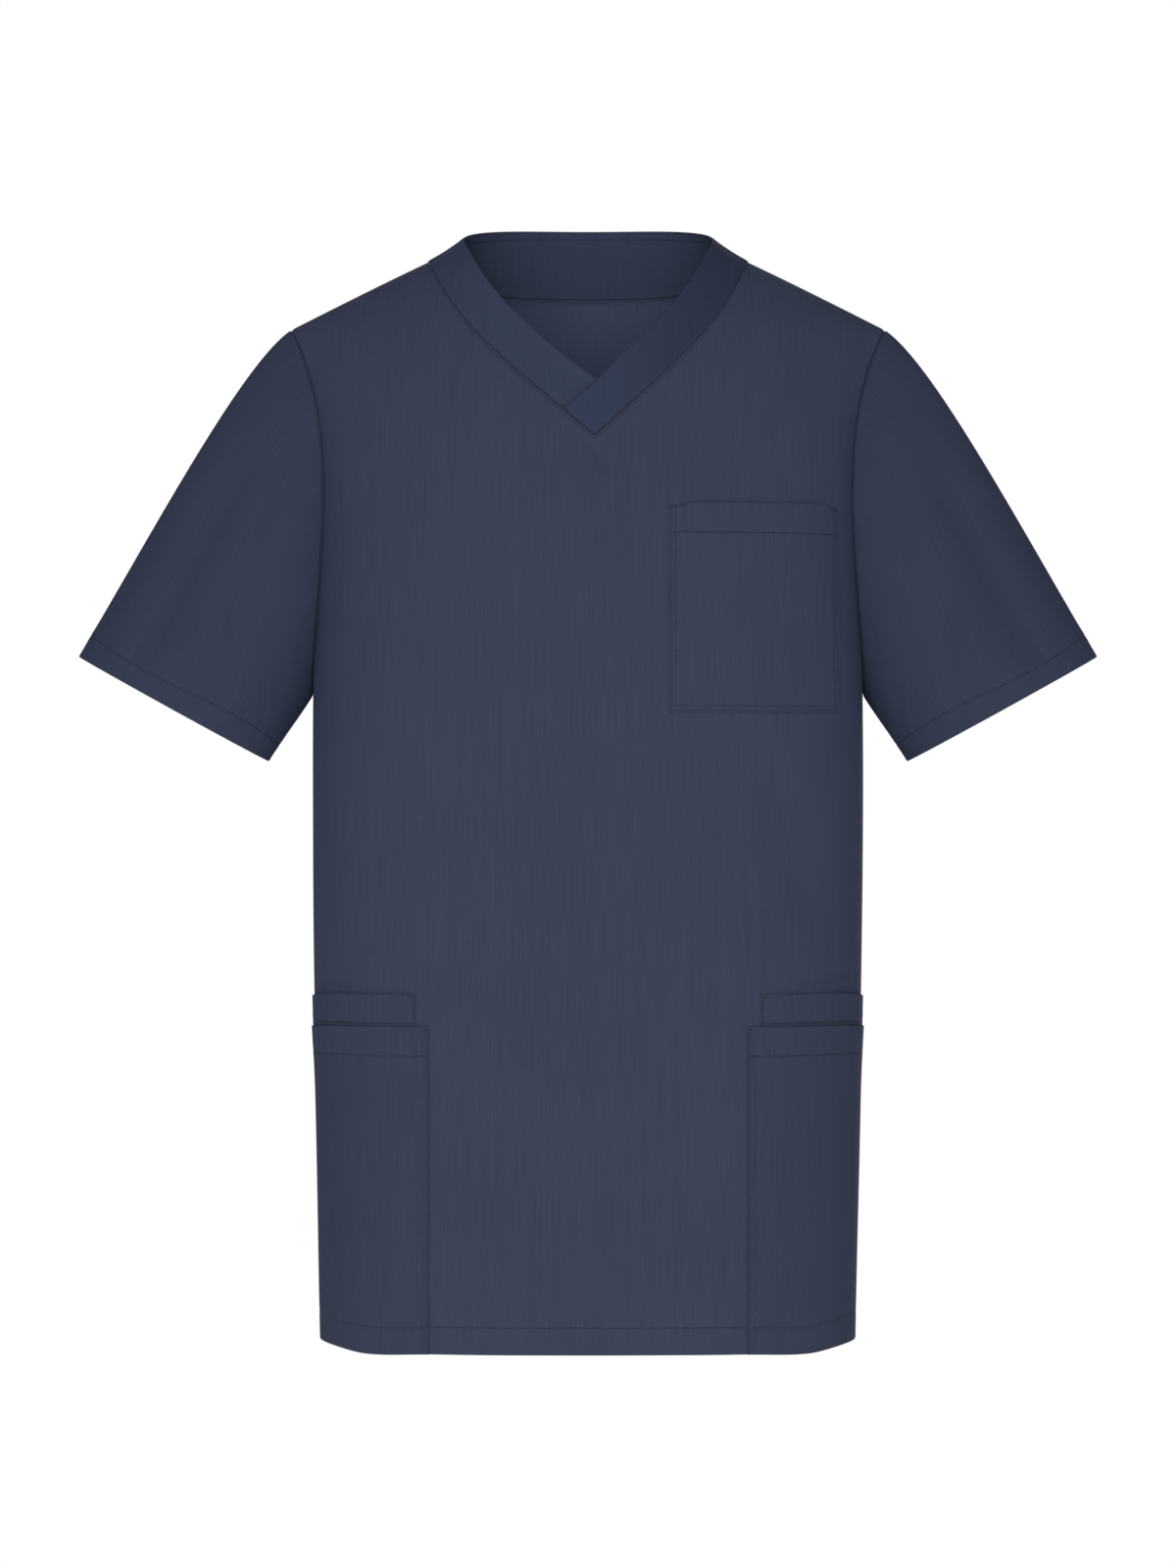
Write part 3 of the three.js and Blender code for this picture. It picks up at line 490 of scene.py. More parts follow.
def new_material(name):
    material = bpy.data.materials.new(name)
    material.use_nodes = True
    material.node_tree.nodes.clear()
    return material, material.node_tree


def grid_piece(name, cloth, material, thickness, weld=False, inside=None):
    """A sheet of cloth: a flat grid laid where its tables say, with its cut as UVs, and a thin wall.

    cloth holds by row and column the points, their outward directions and the cut's two lengths, all in
    millimetres, and how much shade is painted into the colour beside seams, stitch lines, pocket edges and
    creases.
    """
    rows, columns = cloth[0].shape[:2]
    bm = bmesh.new()
    bmesh.ops.create_grid(bm, x_segments=columns - 1, y_segments=rows - 1, size=0.5)
    bm.verts.index_update()
    flat = np.array([v.co[:2] for v in bm.verts]) + 0.5
    i = np.rint(flat[:, 0] * (columns - 1)).astype(int)
    j = np.rint(flat[:, 1] * (rows - 1)).astype(int)
    points, normals, cut, seam = (table[j, i] for table in cloth)
    for vert, p in zip(bm.verts, points * MM):
        vert.co = p
    uv = bm.loops.layers.uv.new("cut")
    # The 'seam' layer holds how much shade is painted into the colour at each point.
    shade = bm.verts.layers.float.new("seam")
    for vert, value in zip(bm.verts, seam):
        vert[shade] = value
    in_metres = cut * MM
    for face in bm.faces:
        face.smooth = True
        for loop in face.loops:
            loop[uv].uv = in_metres[loop.vert.index]
    bm.normal_update()
    facing = sum(face.normal.dot(Vector(normals[face.verts[0].index])) for face in bm.faces)
    if facing < 0:
        bmesh.ops.reverse_faces(bm, faces=bm.faces)
    if weld:
        bmesh.ops.remove_doubles(bm, verts=bm.verts, dist=1e-6)
    for edge in bm.edges:
        if edge.is_boundary:
            edge.smooth = False
    piece = finished(name, bm, material)
    if thickness:
        wall = piece.modifiers.new("cloth", "SOLIDIFY")
        wall.thickness = thickness * MM
        wall.offset = -1
        # Painted light: the wall's inner faces take the lighter inside material.
        if inside:
            piece.data.materials.append(inside)
            wall.material_offset = 1
    return piece


def finished(name, bm, material):
    mesh = bpy.data.meshes.new(name)
    bm.to_mesh(mesh)
    bm.free()
    mesh.materials.append(material)
    piece = bpy.data.objects.new(name, mesh)
    bpy.context.scene.collection.objects.link(piece)
    return piece


def sew_on(piece, node):
    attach(piece, "root")
    if node:
        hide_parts(node)


def lengths_along(grid, axis):
    """Running lengths along the rows or the columns of a grid of points."""
    steps = np.linalg.norm(np.diff(grid, axis=axis), axis=2)
    start = np.zeros_like(np.take(steps, [0], axis=axis))
    return np.cumsum(np.concatenate([start, steps], axis=axis), axis=axis)


TURN_RADIUS, TURN_ROWS = 0.75, 5  # a hem's turn: its radius as a share of the cloth's thickness, and its rows


def hem_turn(fold, thickness):
    """Rows that turn a hem's cloth round its lower edge and up again inside: rise and inset of each."""
    radius = thickness * TURN_RADIUS
    angles = np.linspace(0, math.pi, TURN_ROWS)
    bend = [(radius * (1 - math.sin(a)), radius * (1 - math.cos(a))) for a in angles]
    return bend + [(rise, 2 * radius) for rise in stops((radius + 2, 4), (fold - 1, 1))]


def hem_rows(rise_of_rows, fold, thickness):
    """Heights and insets of all rows of a piece, from the inside end of its turned hem to its top."""
    turned = hem_turn(fold, thickness)[::-1]
    rise = np.array([r for r, _ in turned] + list(rise_of_rows))
    inset = np.array([d for _, d in turned] + [0.0] * len(rise_of_rows))
    return rise, inset


BODY_ROWS = stops((1.2, 2.5), (HEM_FOLD - 2, 0.5), (HEM_FOLD + 2, 3.2), (589.8, 1))  # above the hem's edge
UPPER_ROWS = stops((0.0, 3.2 / 130), (0.94, 0.005), (1.0, 1))[1:]  # share of the way to the column's top
POCKET_WALL, BAND_WALL = 0.5, 1.3  # one layer pressed flat, and a doubled one
# Painted shade: these darken the cloth's colour, through its 'seam' attribute, in thin lines along seams,
# stitch lines, pocket edges and creases
SEAM_SHADE = 0.75  # half width of the shade painted along a seam
STITCHES_OFF = 0.4  # the shade painted along a line of stitches is as dark as a seam's this much further off
MOUTH_SHADE, SIDE_SHADE = 0.5, 0.3  # how dark the painted shadow lines along a pocket's edges are, where 1 is a seam
STITCH_SHADE, POCKET_HEM_SHADE = 0.2, 0.5  # and the shade painted along its topstitching and its hem's line
NECK_STITCH = 2.2  # the topstitching from the neckline seam
NECK_LINE, NECK_LINE_SHADE = 0.5, 0.3  # half width and darkness of the thin line of shade painted along it
POCKET_LINE = 0.45  # half width of the painted shadow lines along a pocket's edges
NECK_LEAN, SHOULDER_LEAN = 0.72, 0.9  # distance from the neckline or the shoulder seam for each mm of height
FAR = 99.0  # too far off for a line to be felt


def panel_columns(side):
    """Distances along the cloth from the middle, closer near the neck's corners and the seams."""
    neck = (NECK_AT - 9, 1.5), (NECK_AT, 1.5), (NECK_AT + 6, 3.2)
    inner = stops((0.0, V_X / 3), (2 * V_X, 3.2), *neck, (OUTER_FROM, 1))
    outer = stops((0.0, 0.05), (0.93, 0.014), (1.0, 1))[1:]
    half = [("at", d) for d in inner[1:]] + [("share", s) for s in outer]
    return [(-1, kind, v) for kind, v in half[::-1]] + [(1, "at", 0.0)] + [(1, kind, v) for kind, v in half]


def column_distance(panel, level, hand, shared, value):
    """Distance of each column from the middle: a given one, or a share of the way out to the seam."""
    outer = mix(OUTER_FROM, panel.length(level), value)
    return hand * np.where(shared, outer, value)


def panel_relief(panel, level, distance, p):
    """How far sewing pulls the cloth in or out beside the seams, and the shade painted beside them and in
    creases.
    """
    to_side = panel.length(level) - np.abs(distance)
    to_hem_line = level - (HEM_Z + HEM_FOLD)
    below_neck = (neckline_z(panel.side, p[..., 0]) - p[..., 2]) * NECK_LEAN
    beside_neck = np.abs(distance) < NECK_AT
    to_neck = np.where(beside_neck, np.abs(below_neck), FAR)
    to_shoulder = np.where(beside_neck, FAR, (TIP_Z - level) * SHOULDER_LEAN)
    relief = -STITCH_DIP * near(to_hem_line, HEM_DIP_WIDTH)
    relief = relief + pucker(p[..., 0], to_hem_line, *HEM_PUCKER)
    groove = near(to_side, GROOVE_WIDTH) + near(to_shoulder, GROOVE_WIDTH)
    groove = groove + SOFT_GROOVE * near(to_neck, GROOVE_WIDTH)
    relief = relief - STITCH_DIP * near(to_neck - NECK_STITCH, DIP_WIDTH)
    along_neck = p[..., 2] * NECK_RUN
    relief = relief + pucker(along_neck, to_neck - NECK_PUCKER_OFF, *NECK_PUCKER) * beside_neck
    relief = relief - SEAM_GROOVE * np.clip(groove, 0, 1)
    # Painted shade along the side, shoulder and neckline seams, the hem's stitch line, the neckline's
    # topstitching and the sharp creases.
    nearest = np.minimum.reduce([to_side, to_neck, to_shoulder, np.abs(to_hem_line) + STITCHES_OFF])
    stitched = NECK_LINE_SHADE * near(to_neck - NECK_STITCH, NECK_LINE)
    seam = np.maximum(near(nearest, SEAM_SHADE), stitched)
    # Painted shade along the sharp creases.
    sharp = [(*fold[:4], CREASE_WIDTH, CREASE_SHADE) for fold in FOLDS[panel.side] if fold[4] <= SHARP_FOLD]
    return relief, np.maximum(seam, fold_depth(sharp, p[..., 0], p[..., 2]))


ALLOWANCE_ROWS = (1.2, 3.6)  # past the seam
ALLOWANCE_SHADES = (0.6, 0.0)  # how much of the seam's painted shade each of them takes
NECK_TUCK, SHOULDER_TUCK = 0.05, 0.4  # how far they lie from the seam's own surface, outwards and inwards
SHOULDER_SLOPE, SHOULDER_DIP = 0.9, 0.3  # how much of each step follows the back panel, and sinks under it


def seam_allowance(side, distance, top):
    """Two more rows of cloth past the top edge, tucked into the doubled neckband or under the other panel."""
    in_neck = (np.abs(distance) < NECK_AT)[:, None]
    seam, n = neckline(side, distance)
    over = unit((front_edge(distance) if side == FRONT else back_edge(distance)) - seam)
    out = np.cross(np.gradient(seam, axis=0), over)
    out = unit(out * np.where((out * n).sum(-1, keepdims=True) < 0, -1, 1))
    shoulder = -n
    if side == FRONT:
        beyond, beyond_n = PANELS[BACK].at(TIP_Z - 4, distance)
        shoulder = unit(beyond - seam) - beyond_n * SHOULDER_DIP
    rows = []
    for step in ALLOWANCE_ROWS:
        under_band = over * step + out * NECK_TUCK
        under_back = shoulder * step * SHOULDER_SLOPE - n * SHOULDER_TUCK
        rows.append(top + np.where(in_neck, under_band, under_back))
    return np.stack(rows)


def build_panel(name, side, material, inside, thickness):
    panel = PANELS[side]
    columns = panel_columns(side)
    hand = np.array([c[0] for c in columns])
    shared = np.array([c[1] == "share" for c in columns])
    value = np.array([c[2] for c in columns])
    rise, inset = hem_rows(BODY_ROWS, HEM_FOLD, thickness)
    low = HEM_Z + rise
    ends = np.where(shared, TIP_Z, top_level(side, np.where(shared, OUTER_FROM, hand * value)))
    upper = BREAST_Z + UPPER_ROWS[:, None] * (ends - BREAST_Z)[None, :]
    level = np.concatenate([np.repeat(low[:, None], len(columns), axis=1), upper])
    inset = np.concatenate([inset, np.zeros(len(UPPER_ROWS))])[:, None]
    distance = column_distance(panel, level, hand[None, :], shared[None, :], value[None, :])
    p, n = panel.at(level, distance)
    relief, seam = panel_relief(panel, level, distance, p)
    p = p + n * (relief - inset)[..., None]
    tucked = seam_allowance(side, distance[-1], p[-1])
    p, n = np.concatenate([p, tucked]), np.concatenate([n, n[-1:], n[-1:]])
    distance = np.concatenate([distance, distance[-2:]])
    seam = np.concatenate([seam, *(shade * seam[-1:] for shade in ALLOWANCE_SHADES)])
    v = lengths_along(p, 0)
    cut = np.stack([distance, v - v[len(rise)][None, :] + BREAST_Z], -1)
    return grid_piece(name, (p, n, cut, seam), material, thickness, inside=inside)


def cuff_fold(angle):
    """Depth of the cuff's turned hem at angles round it."""
    return mix(CUFF_FOLD, CUFF_UNDER_FOLD, (1 - np.cos(angle)) / 2)


SLEEVE_SHARES = stops((0.0, 0.005), (0.02, 0.013), (1.0, 1))  # from the armhole to the cuff's rows
CUFF_ROWS = stops((28.0, 2.4), (CUFF_FOLD + 2, 0.5), (CUFF_FOLD - 2, 2.4), (1.2, 1))  # from its edge
SLEEVE_COLUMNS = 190
SLEEVE_CROWDING = 0.55  # 0 spaces them evenly, and 1 crowds them at the top and the underarm
SLEEVE_RADIUS = 62.0  # about, to turn angles into lengths
UNDERARM_GROOVE = 0.6


def sleeve_length(hand, angle):
    """From the armhole straight to the cuff's edge, at angles round the sleeve."""
    return np.linalg.norm(sleeve_bare(hand, angle, np.ones_like(angle)) - armhole(hand, angle)[0], axis=-1)


def build_sleeve(name, hand, material, thickness):
    half = SLEEVE_COLUMNS // 2
    crowded = (1 - np.cos(np.linspace(0, math.pi, half))) * 0.5
    spread = mix(np.linspace(0, 1, half), crowded, SLEEVE_CROWDING) * math.pi
    angles = np.concatenate([-spread[::-1], spread[1:]])
    ends = np.abs(np.abs(angles) - math.pi) < 1e-9
    long = sleeve_length(hand, angles)
    rows = CUFF_ROWS[:, None] * cuff_fold(angles)[None, :] / CUFF_FOLD
    fold_rise, fold_inset = hem_rows([], CUFF_FOLD, thickness)
    share = np.concatenate([
        SLEEVE_SHARES[:-1, None] * (1 - rows[0] / long)[None, :],
        1 - rows[:-1] / long[None, :],
        1 - fold_rise[::-1, None] / long[None, :],
    ])
    inset = np.concatenate([np.zeros(len(share) - len(fold_inset)), fold_inset[::-1]])[:, None]
    angle = np.repeat(angles[None, :], len(share), axis=0)
    p, n = sleeve_at(hand, np.where(ends[None, :], math.pi, angle), share)
    from_cuff = (1 - share) * long[None, :]
    from_seam = share * long[None, :]
    under = (math.pi - np.abs(angle)) * SLEEVE_RADIUS
    to_fold = from_cuff - cuff_fold(angles)[None, :]
    relief = -STITCH_DIP * near(to_fold, HEM_DIP_WIDTH)
    relief = relief + pucker(angle * SLEEVE_RADIUS, to_fold, *HEM_PUCKER)
    relief = relief - SEAM_GROOVE * near(from_seam, GROOVE_WIDTH)
    relief = relief - UNDERARM_GROOVE * near(under, GROOVE_WIDTH)
    p = p + n * (relief - inset)[..., None]
    # Painted shade along the armhole and underarm seams and the cuff's stitch line.
    nearest = np.minimum.reduce([from_seam, under, np.abs(to_fold) + STITCHES_OFF])
    seam = near(nearest, SEAM_SHADE)
    seam_points, seam_normals = armhole(hand, angles)
    p[0] = seam_points - SEAM_GROOVE * seam_normals
    p[:, -1] = p[:, 0]
    around = lengths_along(p, 1)
    cut = np.stack([around - around[:, -1:] / 2, -from_seam], -1)
    return grid_piece(name, (p, n, cut, seam), material, thickness, weld=True)


# Neckband
def neckline(side, distance):
    """The neckline seam: its points on the sewn cloth, and their outward directions."""
    return PANELS[side].at(top_level(side, distance), distance)


def front_edge(distance):
    """The front neckband's free edge beside points of the neckline."""
    step = 1.5
    distance = np.asarray(distance, float)
    p, n = neckline(FRONT, distance)
    at_shoulder = (np.abs(distance) > NECK_AT - step)[..., None]
    n = np.where(at_shoulder, unit(n + neckline(BACK, distance)[1]), n)
    towards = np.where(distance < 0, -1.0, 1.0)
    ahead, _ = neckline(FRONT, distance - towards * step)
    over_back, _ = neckline(BACK, distance - towards * step)
    over_front, _ = neckline(FRONT, distance + towards * step)
    behind = np.where(at_shoulder, over_back, over_front)
    flat = unit(np.cross(unit(ahead - behind), n))
    flat = flat * np.where(flat[..., 2:] < 0, -1, 1)
    turn = (BAND_STAND * smoothstep(np.abs(distance) / NECK_AT, 0.4, 1))[..., None]
    return p + (flat * np.cos(turn) + n * np.sin(turn)) * BAND_WIDTH


def back_edge(distance):
    """The back neckband's free edge, from shoulder to shoulder round the back of the neck."""
    shoulder = front_edge(np.array([NECK_AT]))[0]
    distance = np.asarray(distance, float)
    around = math.pi / 2 * (1 - np.abs(distance) / NECK_AT)
    x = np.sign(distance) * shoulder[0] * np.cos(around)
    climb = 1 - (1 - np.sin(around)) ** BAND_CLIMB
    return np.stack([x, BAND_BACK_Y * np.sin(around), mix(shoulder[2], BAND_BACK_Z, climb)], -1)


def inner_v():
    """The point where the inner edges of the neckband meet."""
    low, high = BREAST_Z, TIP_Z
    for _ in range(HALVINGS):
        middle = (low + high) / 2
        p, _ = PANELS[FRONT].bare(middle, INNER_V_X)
        low, high = (middle, high) if p[2] < INNER_V_Z else (low, middle)
    return PANELS[FRONT].bare(low, INNER_V_X)[0]


BAND_ACROSS = stops((0.0, 0.03), (0.12, 0.1), (0.82, 0.015), (1.0, 1))
BAND_TOPSTITCH, BAND_STITCH_SHADE = 6.5, 0.5  # from the back band's free edge, and how dark the shade painted along it is
BAND_HOLLOW = 0.7  # how far its middle sinks between its seam and its free edge
BAND_ROUND = 0.7  # how far its folded edge rounds over
BAND_JOIN = 1.5  # the back band's ends run on past their last column by half its width
HELD_AT_SEAM = 0.25  # share of the lap's lift that is left at its seam
LAP_EDGE_SHADE = 0.7  # painted shadow along the lap's free edge
LAP_PAINTED_SHADE, LAP_PAINTED_SHADE_FROM, LAP_PAINTED_SHADE_TO = 0.45, 5, 90  # painted shade: how much darker the lap is painted from the V to the shoulder, where it turns from the light
STRAIGHT_TO = 44.0  # up to here from the centre, the free edge runs straight up from the V
LAP_FLATTENS = (12, 62)  # along the lap, where it comes down onto the line of the other pieces
LAP_COLUMNS = 8
LAP_TIP = 0.05  # share of the way from its seam's end to the inner V that the lap's end is wide
CLOSE_TO = 12.0  # columns stand closer up to this far from the shoulders


def band_strip(seam, edge, outward, lift):
    """Points and outward directions of a band between its seam and its free edge."""
    across = BAND_ACROSS[None, :, None]
    flat = mix(seam[:, None, :], edge[:, None, :], across)
    n = np.cross(np.gradient(flat, axis=0), np.gradient(flat, axis=1))
    n = unit(n * np.where((n * outward[:, None, :]).sum(-1, keepdims=True) < 0, -1, 1))
    bow = 4 * BAND_ACROSS * (1 - BAND_ACROSS)
    dip = SOFT_GROOVE * SEAM_GROOVE * near(BAND_ACROSS * BAND_WIDTH, GROOVE_WIDTH)
    fold = BAND_ROUND * smoothstep(BAND_ACROSS, 0.95, 1.0) ** 2
    raised = mix(HELD_AT_SEAM, 1.0, smoothstep(BAND_ACROSS, 0.0, 0.35))
    height = lift[:, None] * raised[None, :] - (BAND_HOLLOW * bow + dip + fold)[None, :]
    return flat + n * height[..., None], n


def build_band(name, strip, material):
    """One piece of the doubled neckband."""
    p, n = strip
    around = lengths_along(p, 0)
    up = lengths_along(p, 1)
    from_edge = up[:, -1:] - up
    # Painted shade along the band's seam.
    seam = near(up, SEAM_SHADE)
    cut = np.stack([p[..., 0], p[..., 2]], -1)
    if name == "neckband_back_cloth":
        # Painted shade along the back band's topstitching.
        seam = seam + BAND_STITCH_SHADE * near(from_edge - BAND_TOPSTITCH, SEAM_SHADE)
        turn = np.arcsin(np.clip(p[..., 0] / NECK_X, -1, 1)) / (math.pi / 2)
        cut = np.stack([turn * around[-1, 0] / 2, up], -1)
    if name == "neckband_left_cloth":
        # Painted shadow along the lap's free edge, and painted shade darkening the lap towards the shoulder.
        laps = p[:, :1, 0] < V_X + 1e-6
        seam = seam + LAP_EDGE_SHADE * laps * near(from_edge, SEAM_SHADE)
        seam = np.maximum(seam, LAP_PAINTED_SHADE * smoothstep(p[..., 0], LAP_PAINTED_SHADE_FROM, LAP_PAINTED_SHADE_TO))
    cloth = [table.swapaxes(0, 1) for table in (p, n, cut, seam)]
    return grid_piece(name, cloth, material, BAND_WALL)


def front_band(hand):
    """One front half of the neckband, from the high shoulder point down to the V, and the left one's lap."""
    d = stops((NECK_AT, 1.5), (NECK_AT - CLOSE_TO, 3.0), (max(hand * V_X, 0.0), 1)) * hand
    if hand == RIGHT:
        d = np.append(d, V_X)
    seam, outward = neckline(FRONT, d)
    middle = inner_v()
    share = (hand * d - hand * V_X) / (STRAIGHT_TO - hand * V_X)
    inside = (np.abs(d) < STRAIGHT_TO)[:, None]
    straight = mix(middle, front_edge(np.array([hand * STRAIGHT_TO]))[0], share[:, None])
    edge = np.where(inside, straight, front_edge(d))
    lift = np.zeros(len(d))
    if hand == LEFT:
        lift = BAND_LIFT * (1 - smoothstep(d, *LAP_FLATTENS))
        share = np.linspace(0, 1, LAP_COLUMNS + 1)[1:]
        lap_seam, lap_outward = neckline(FRONT, mix(V_X, LAP_END, share))
        tip = lap_seam[-1] + (middle - lap_seam[-1]) * LAP_TIP
        seam = np.concatenate([seam, lap_seam])
        edge = np.concatenate([edge, mix(middle, tip, share[:, None])])
        outward = np.concatenate([outward, lap_outward])
        lift = np.append(lift, np.full(LAP_COLUMNS, BAND_LIFT))
    return band_strip(seam, edge, outward, lift)


def back_band():
    d = stops((-NECK_AT, 1.5), (CLOSE_TO - NECK_AT, 3.0), (NECK_AT - CLOSE_TO, 1.5), (NECK_AT, 1))
    seam, outward = neckline(BACK, d)
    p, n = band_strip(seam, back_edge(d), outward, np.zeros(len(d)))
    # Each end runs on a little into the front band, as in a sewn join.
    p = np.concatenate([mix(p[1:2], p[:1], BAND_JOIN), p, mix(p[-2:-1], p[-1:], BAND_JOIN)])
    return p, np.concatenate([n[:1], n, n[-1:]])


# Pockets
MOUTH_FOLLOWS = 18  # how far below the mouth its rows still follow its line
GAPE_REACH = 55.0  # how far below the mouth the pocket still gapes
BREAST_DIP = 1.8  # how much lower its mouth is at the bar tacks
BREAST_DIP_ENDS = ((0.08, 0.115), (0.91, 0.945))  # where across the pocket it fades out and in
BREAST_GAPE, NARROW_GAPE, WIDE_GAPE = 1.0, 1.3, 0.9  # how far each mouth stands off at its middle
NARROW_CUT_DOWN, WIDE_CUT_DOWN = 4.4, 3.2  # how much lower each side pocket's mouth is at the side seam
CUT_DOWN_FROM = 0.35  # share of the way to the side seam from which it is lower
ONTO_NARROW = 0.1  # share of the wide pocket's width over which it rises onto the narrow one
NARROW_FOOT = 4.0  # how far above the hem's edge the narrow pocket ends
POCKET_TURN = 0.35  # the cloth's thickness where a mouth's hem is turned in
SEAM_HOLDS, SEAM_HOLDS_FROM = 0.7, 0.93  # share of the lift that the side seam takes away, and from where


def pocket_level(level, mouth, dip):
    """The mouth's edge dips by the given amounts, and the rows under it follow."""
    return level - dip * smoothstep(level, mouth - MOUTH_FOLLOWS, mouth)


def gape(amount, across, level, mouth):
    """How far a pocket stands off, most at the middle of its mouth."""
    bow = np.sin(math.pi * np.clip(across, 0, 1))
    return amount * bow * (1 - smoothstep(mouth - level, 0, GAPE_REACH))


def patch_piece(name, distance_of, across, rows, level, lift_of, stitch_at, material, ends):
    """A patch pocket on the front, between its foot, unless a seam holds that, and its mouth.

    rows are its rows' heights and insets, and level where they really lie.
    """
    panel = PANELS[FRONT]
    foot, mouth = ends
    levels, inset = rows
    distance = distance_of(level)
    p, n = panel.at(level, distance)
    lift = lift_of(level, across[None, :]) - inset[:, None]
    hem_line = np.abs(levels - (mouth - POCKET_HEM))[:, None]
    from_edge = np.abs(distance) - np.abs(distance).min()
    relief = -STITCH_DIP * near(hem_line, POCKET_HEM_DIP_WIDTH)
    relief = relief + pucker(distance, hem_line, *POCKET_HEM_PUCKER)
    # Painted shade along the pocket's hem line and topstitching.
    seam = POCKET_HEM_SHADE * near(hem_line, SEAM_SHADE)
    for line in stitch_at:
        off = line(level, distance, from_edge)
        relief = relief - STITCH_DIP * near(off, DIP_WIDTH) + pucker(level, off, *POCKET_PUCKER)
        seam = np.maximum(seam, STITCH_SHADE * near(off, SEAM_SHADE))
    to_side = from_edge
    if foot is not None:
        to_side = np.minimum(to_side, np.minimum(levels[:, None] - foot, from_edge.max() - from_edge))
    # Painted shadow lines along the pocket's sides, foot and mouth.
    for off, shade in ((to_side, SIDE_SHADE), (mouth - levels[:, None], MOUTH_SHADE)):
        seam = np.maximum(seam, shade * near(off, POCKET_LINE))
    p = p + n * (lift + relief)[..., None]
    cut = np.stack([distance, level], -1)
    return grid_piece(name, (p, n, cut, seam), material, POCKET_WALL)


def mouth_rows(bottom, mouth, fold):
    """Levels and insets from a pocket's foot to its mouth, round the fold and down inside its hem."""
    line = mouth - fold
    plain = stops((bottom, 0.5), (bottom + 6, 3.2), (line - 2, 0.5), (line + 2, 2.4), (mouth - 1.0, 1))
    turned = hem_turn(fold, POCKET_TURN)
    levels = np.concatenate([plain, mouth - np.array([r for r, _ in turned])])
    return levels, np.concatenate([np.zeros(len(plain)), np.array([d for _, d in turned])])


def build_breast_pocket(name, material):
    across = stops((0.0, 0.004), (0.052, 0.012), (0.12, 0.022), (0.9, 0.012), (0.948, 0.004), (1.0, 1))
    rows = mouth_rows(BREAST_BOTTOM, BREAST_MOUTH, POCKET_HEM)
    width = BREAST_TO - BREAST_FROM

    def distance_of(level):
        return mix(BREAST_FROM, BREAST_TO, across)[None, :] + 0 * level

    def lift_of(level, share):
        return POCKET_LIFT + gape(BREAST_GAPE, share, level, BREAST_MOUTH)

    lines = []
    for off in TOPSTITCHES:
        lines.append(lambda level, d, e, off=off: e - off)
        lines.append(lambda level, d, e, off=off: width - e - off)
        lines.append(lambda level, d, e, off=off: level - BREAST_BOTTOM - off)
    near_end, far_end = (smoothstep(across, *ends) for ends in BREAST_DIP_ENDS)
    dip = BREAST_DIP * (1 - near_end + far_end)
    level = pocket_level(rows[0][:, None], BREAST_MOUTH, dip[None, :])
    ends = (BREAST_BOTTOM, BREAST_MOUTH)
    return patch_piece(name, distance_of, across, rows, level, lift_of, lines, material, ends)


def held_by_seam(share):
    """The side seam presses a pocket's lift down beside it."""
    return 1 - SEAM_HOLDS * smoothstep(share, SEAM_HOLDS_FROM, 1.0)


def narrow_lift(level, share):
    """The narrow pocket lies on the panel, and the side seam holds it down."""
    return (POCKET_LIFT + gape(NARROW_GAPE, share, level, INNER_MOUTH)) * held_by_seam(share)


def build_side_pocket(name, hand, material, start, levels, lift_of, lines, cut_down):
    """A pocket from its inner edge round to the side seam, where its mouth is cut a little lower.

    lines are the distances of its topstitching from the inner edge.
    """
    bottom, mouth = levels
    across = stops((0.0, 0.012), (0.08, 0.026), (0.96, 0.012), (1.0, 1))
    rows = mouth_rows(bottom, mouth, POCKET_HEM)
    if hand == RIGHT:
        across = across[::-1]

    def distance_of(level):
        return hand * mix(start, PANELS[FRONT].length(level), across[None, :])

    stitched = [lambda level, d, e, off=off: np.abs(d) - start - off for off in lines]
    stitched.append(lambda level, d, e: level - (HEM_Z + HEM_FOLD))
    dip = cut_down * smoothstep(across, CUT_DOWN_FROM, 1.0)
    level = pocket_level(rows[0][:, None], mouth, dip[None, :])
    return patch_piece(name, distance_of, across, rows, level, lift_of, stitched, material, (None, mouth))


def wide_lift(level, share):
    """The wide pocket lies on the narrow one, whose gaping it follows."""
    on_narrow = SECOND_LIFT * smoothstep(share, 0.0, ONTO_NARROW)
    on_narrow = on_narrow + gape(NARROW_GAPE, share, level, INNER_MOUTH)
    return (POCKET_LIFT + on_narrow + gape(WIDE_GAPE, share, level, SIDE_MOUTH)) * held_by_seam(share)


def build_narrow_pocket(name, hand, material):
    levels, lines = (HEM_Z + NARROW_FOOT, INNER_MOUTH), TOPSTITCHES[:1]
    return build_side_pocket(name, hand, material, NECK_AT, levels, narrow_lift, lines, NARROW_CUT_DOWN)


def build_wide_pocket(name, hand, material):
    levels = (HEM_Z, SIDE_MOUTH)
    return build_side_pocket(name, hand, material, SIDE_FROM, levels, wide_lift, TOPSTITCHES, WIDE_CUT_DOWN)


# Stitching
THREAD_FLAT = 0.4  # a stitch's half height on the cloth, as a share of the thread's width
LINE_ENDS = 1.5  # hem stitches stop this far from a seam or a pocket
POCKET_OVERLAP = 2.0  # and those on a wide pocket begin this far in from its edge
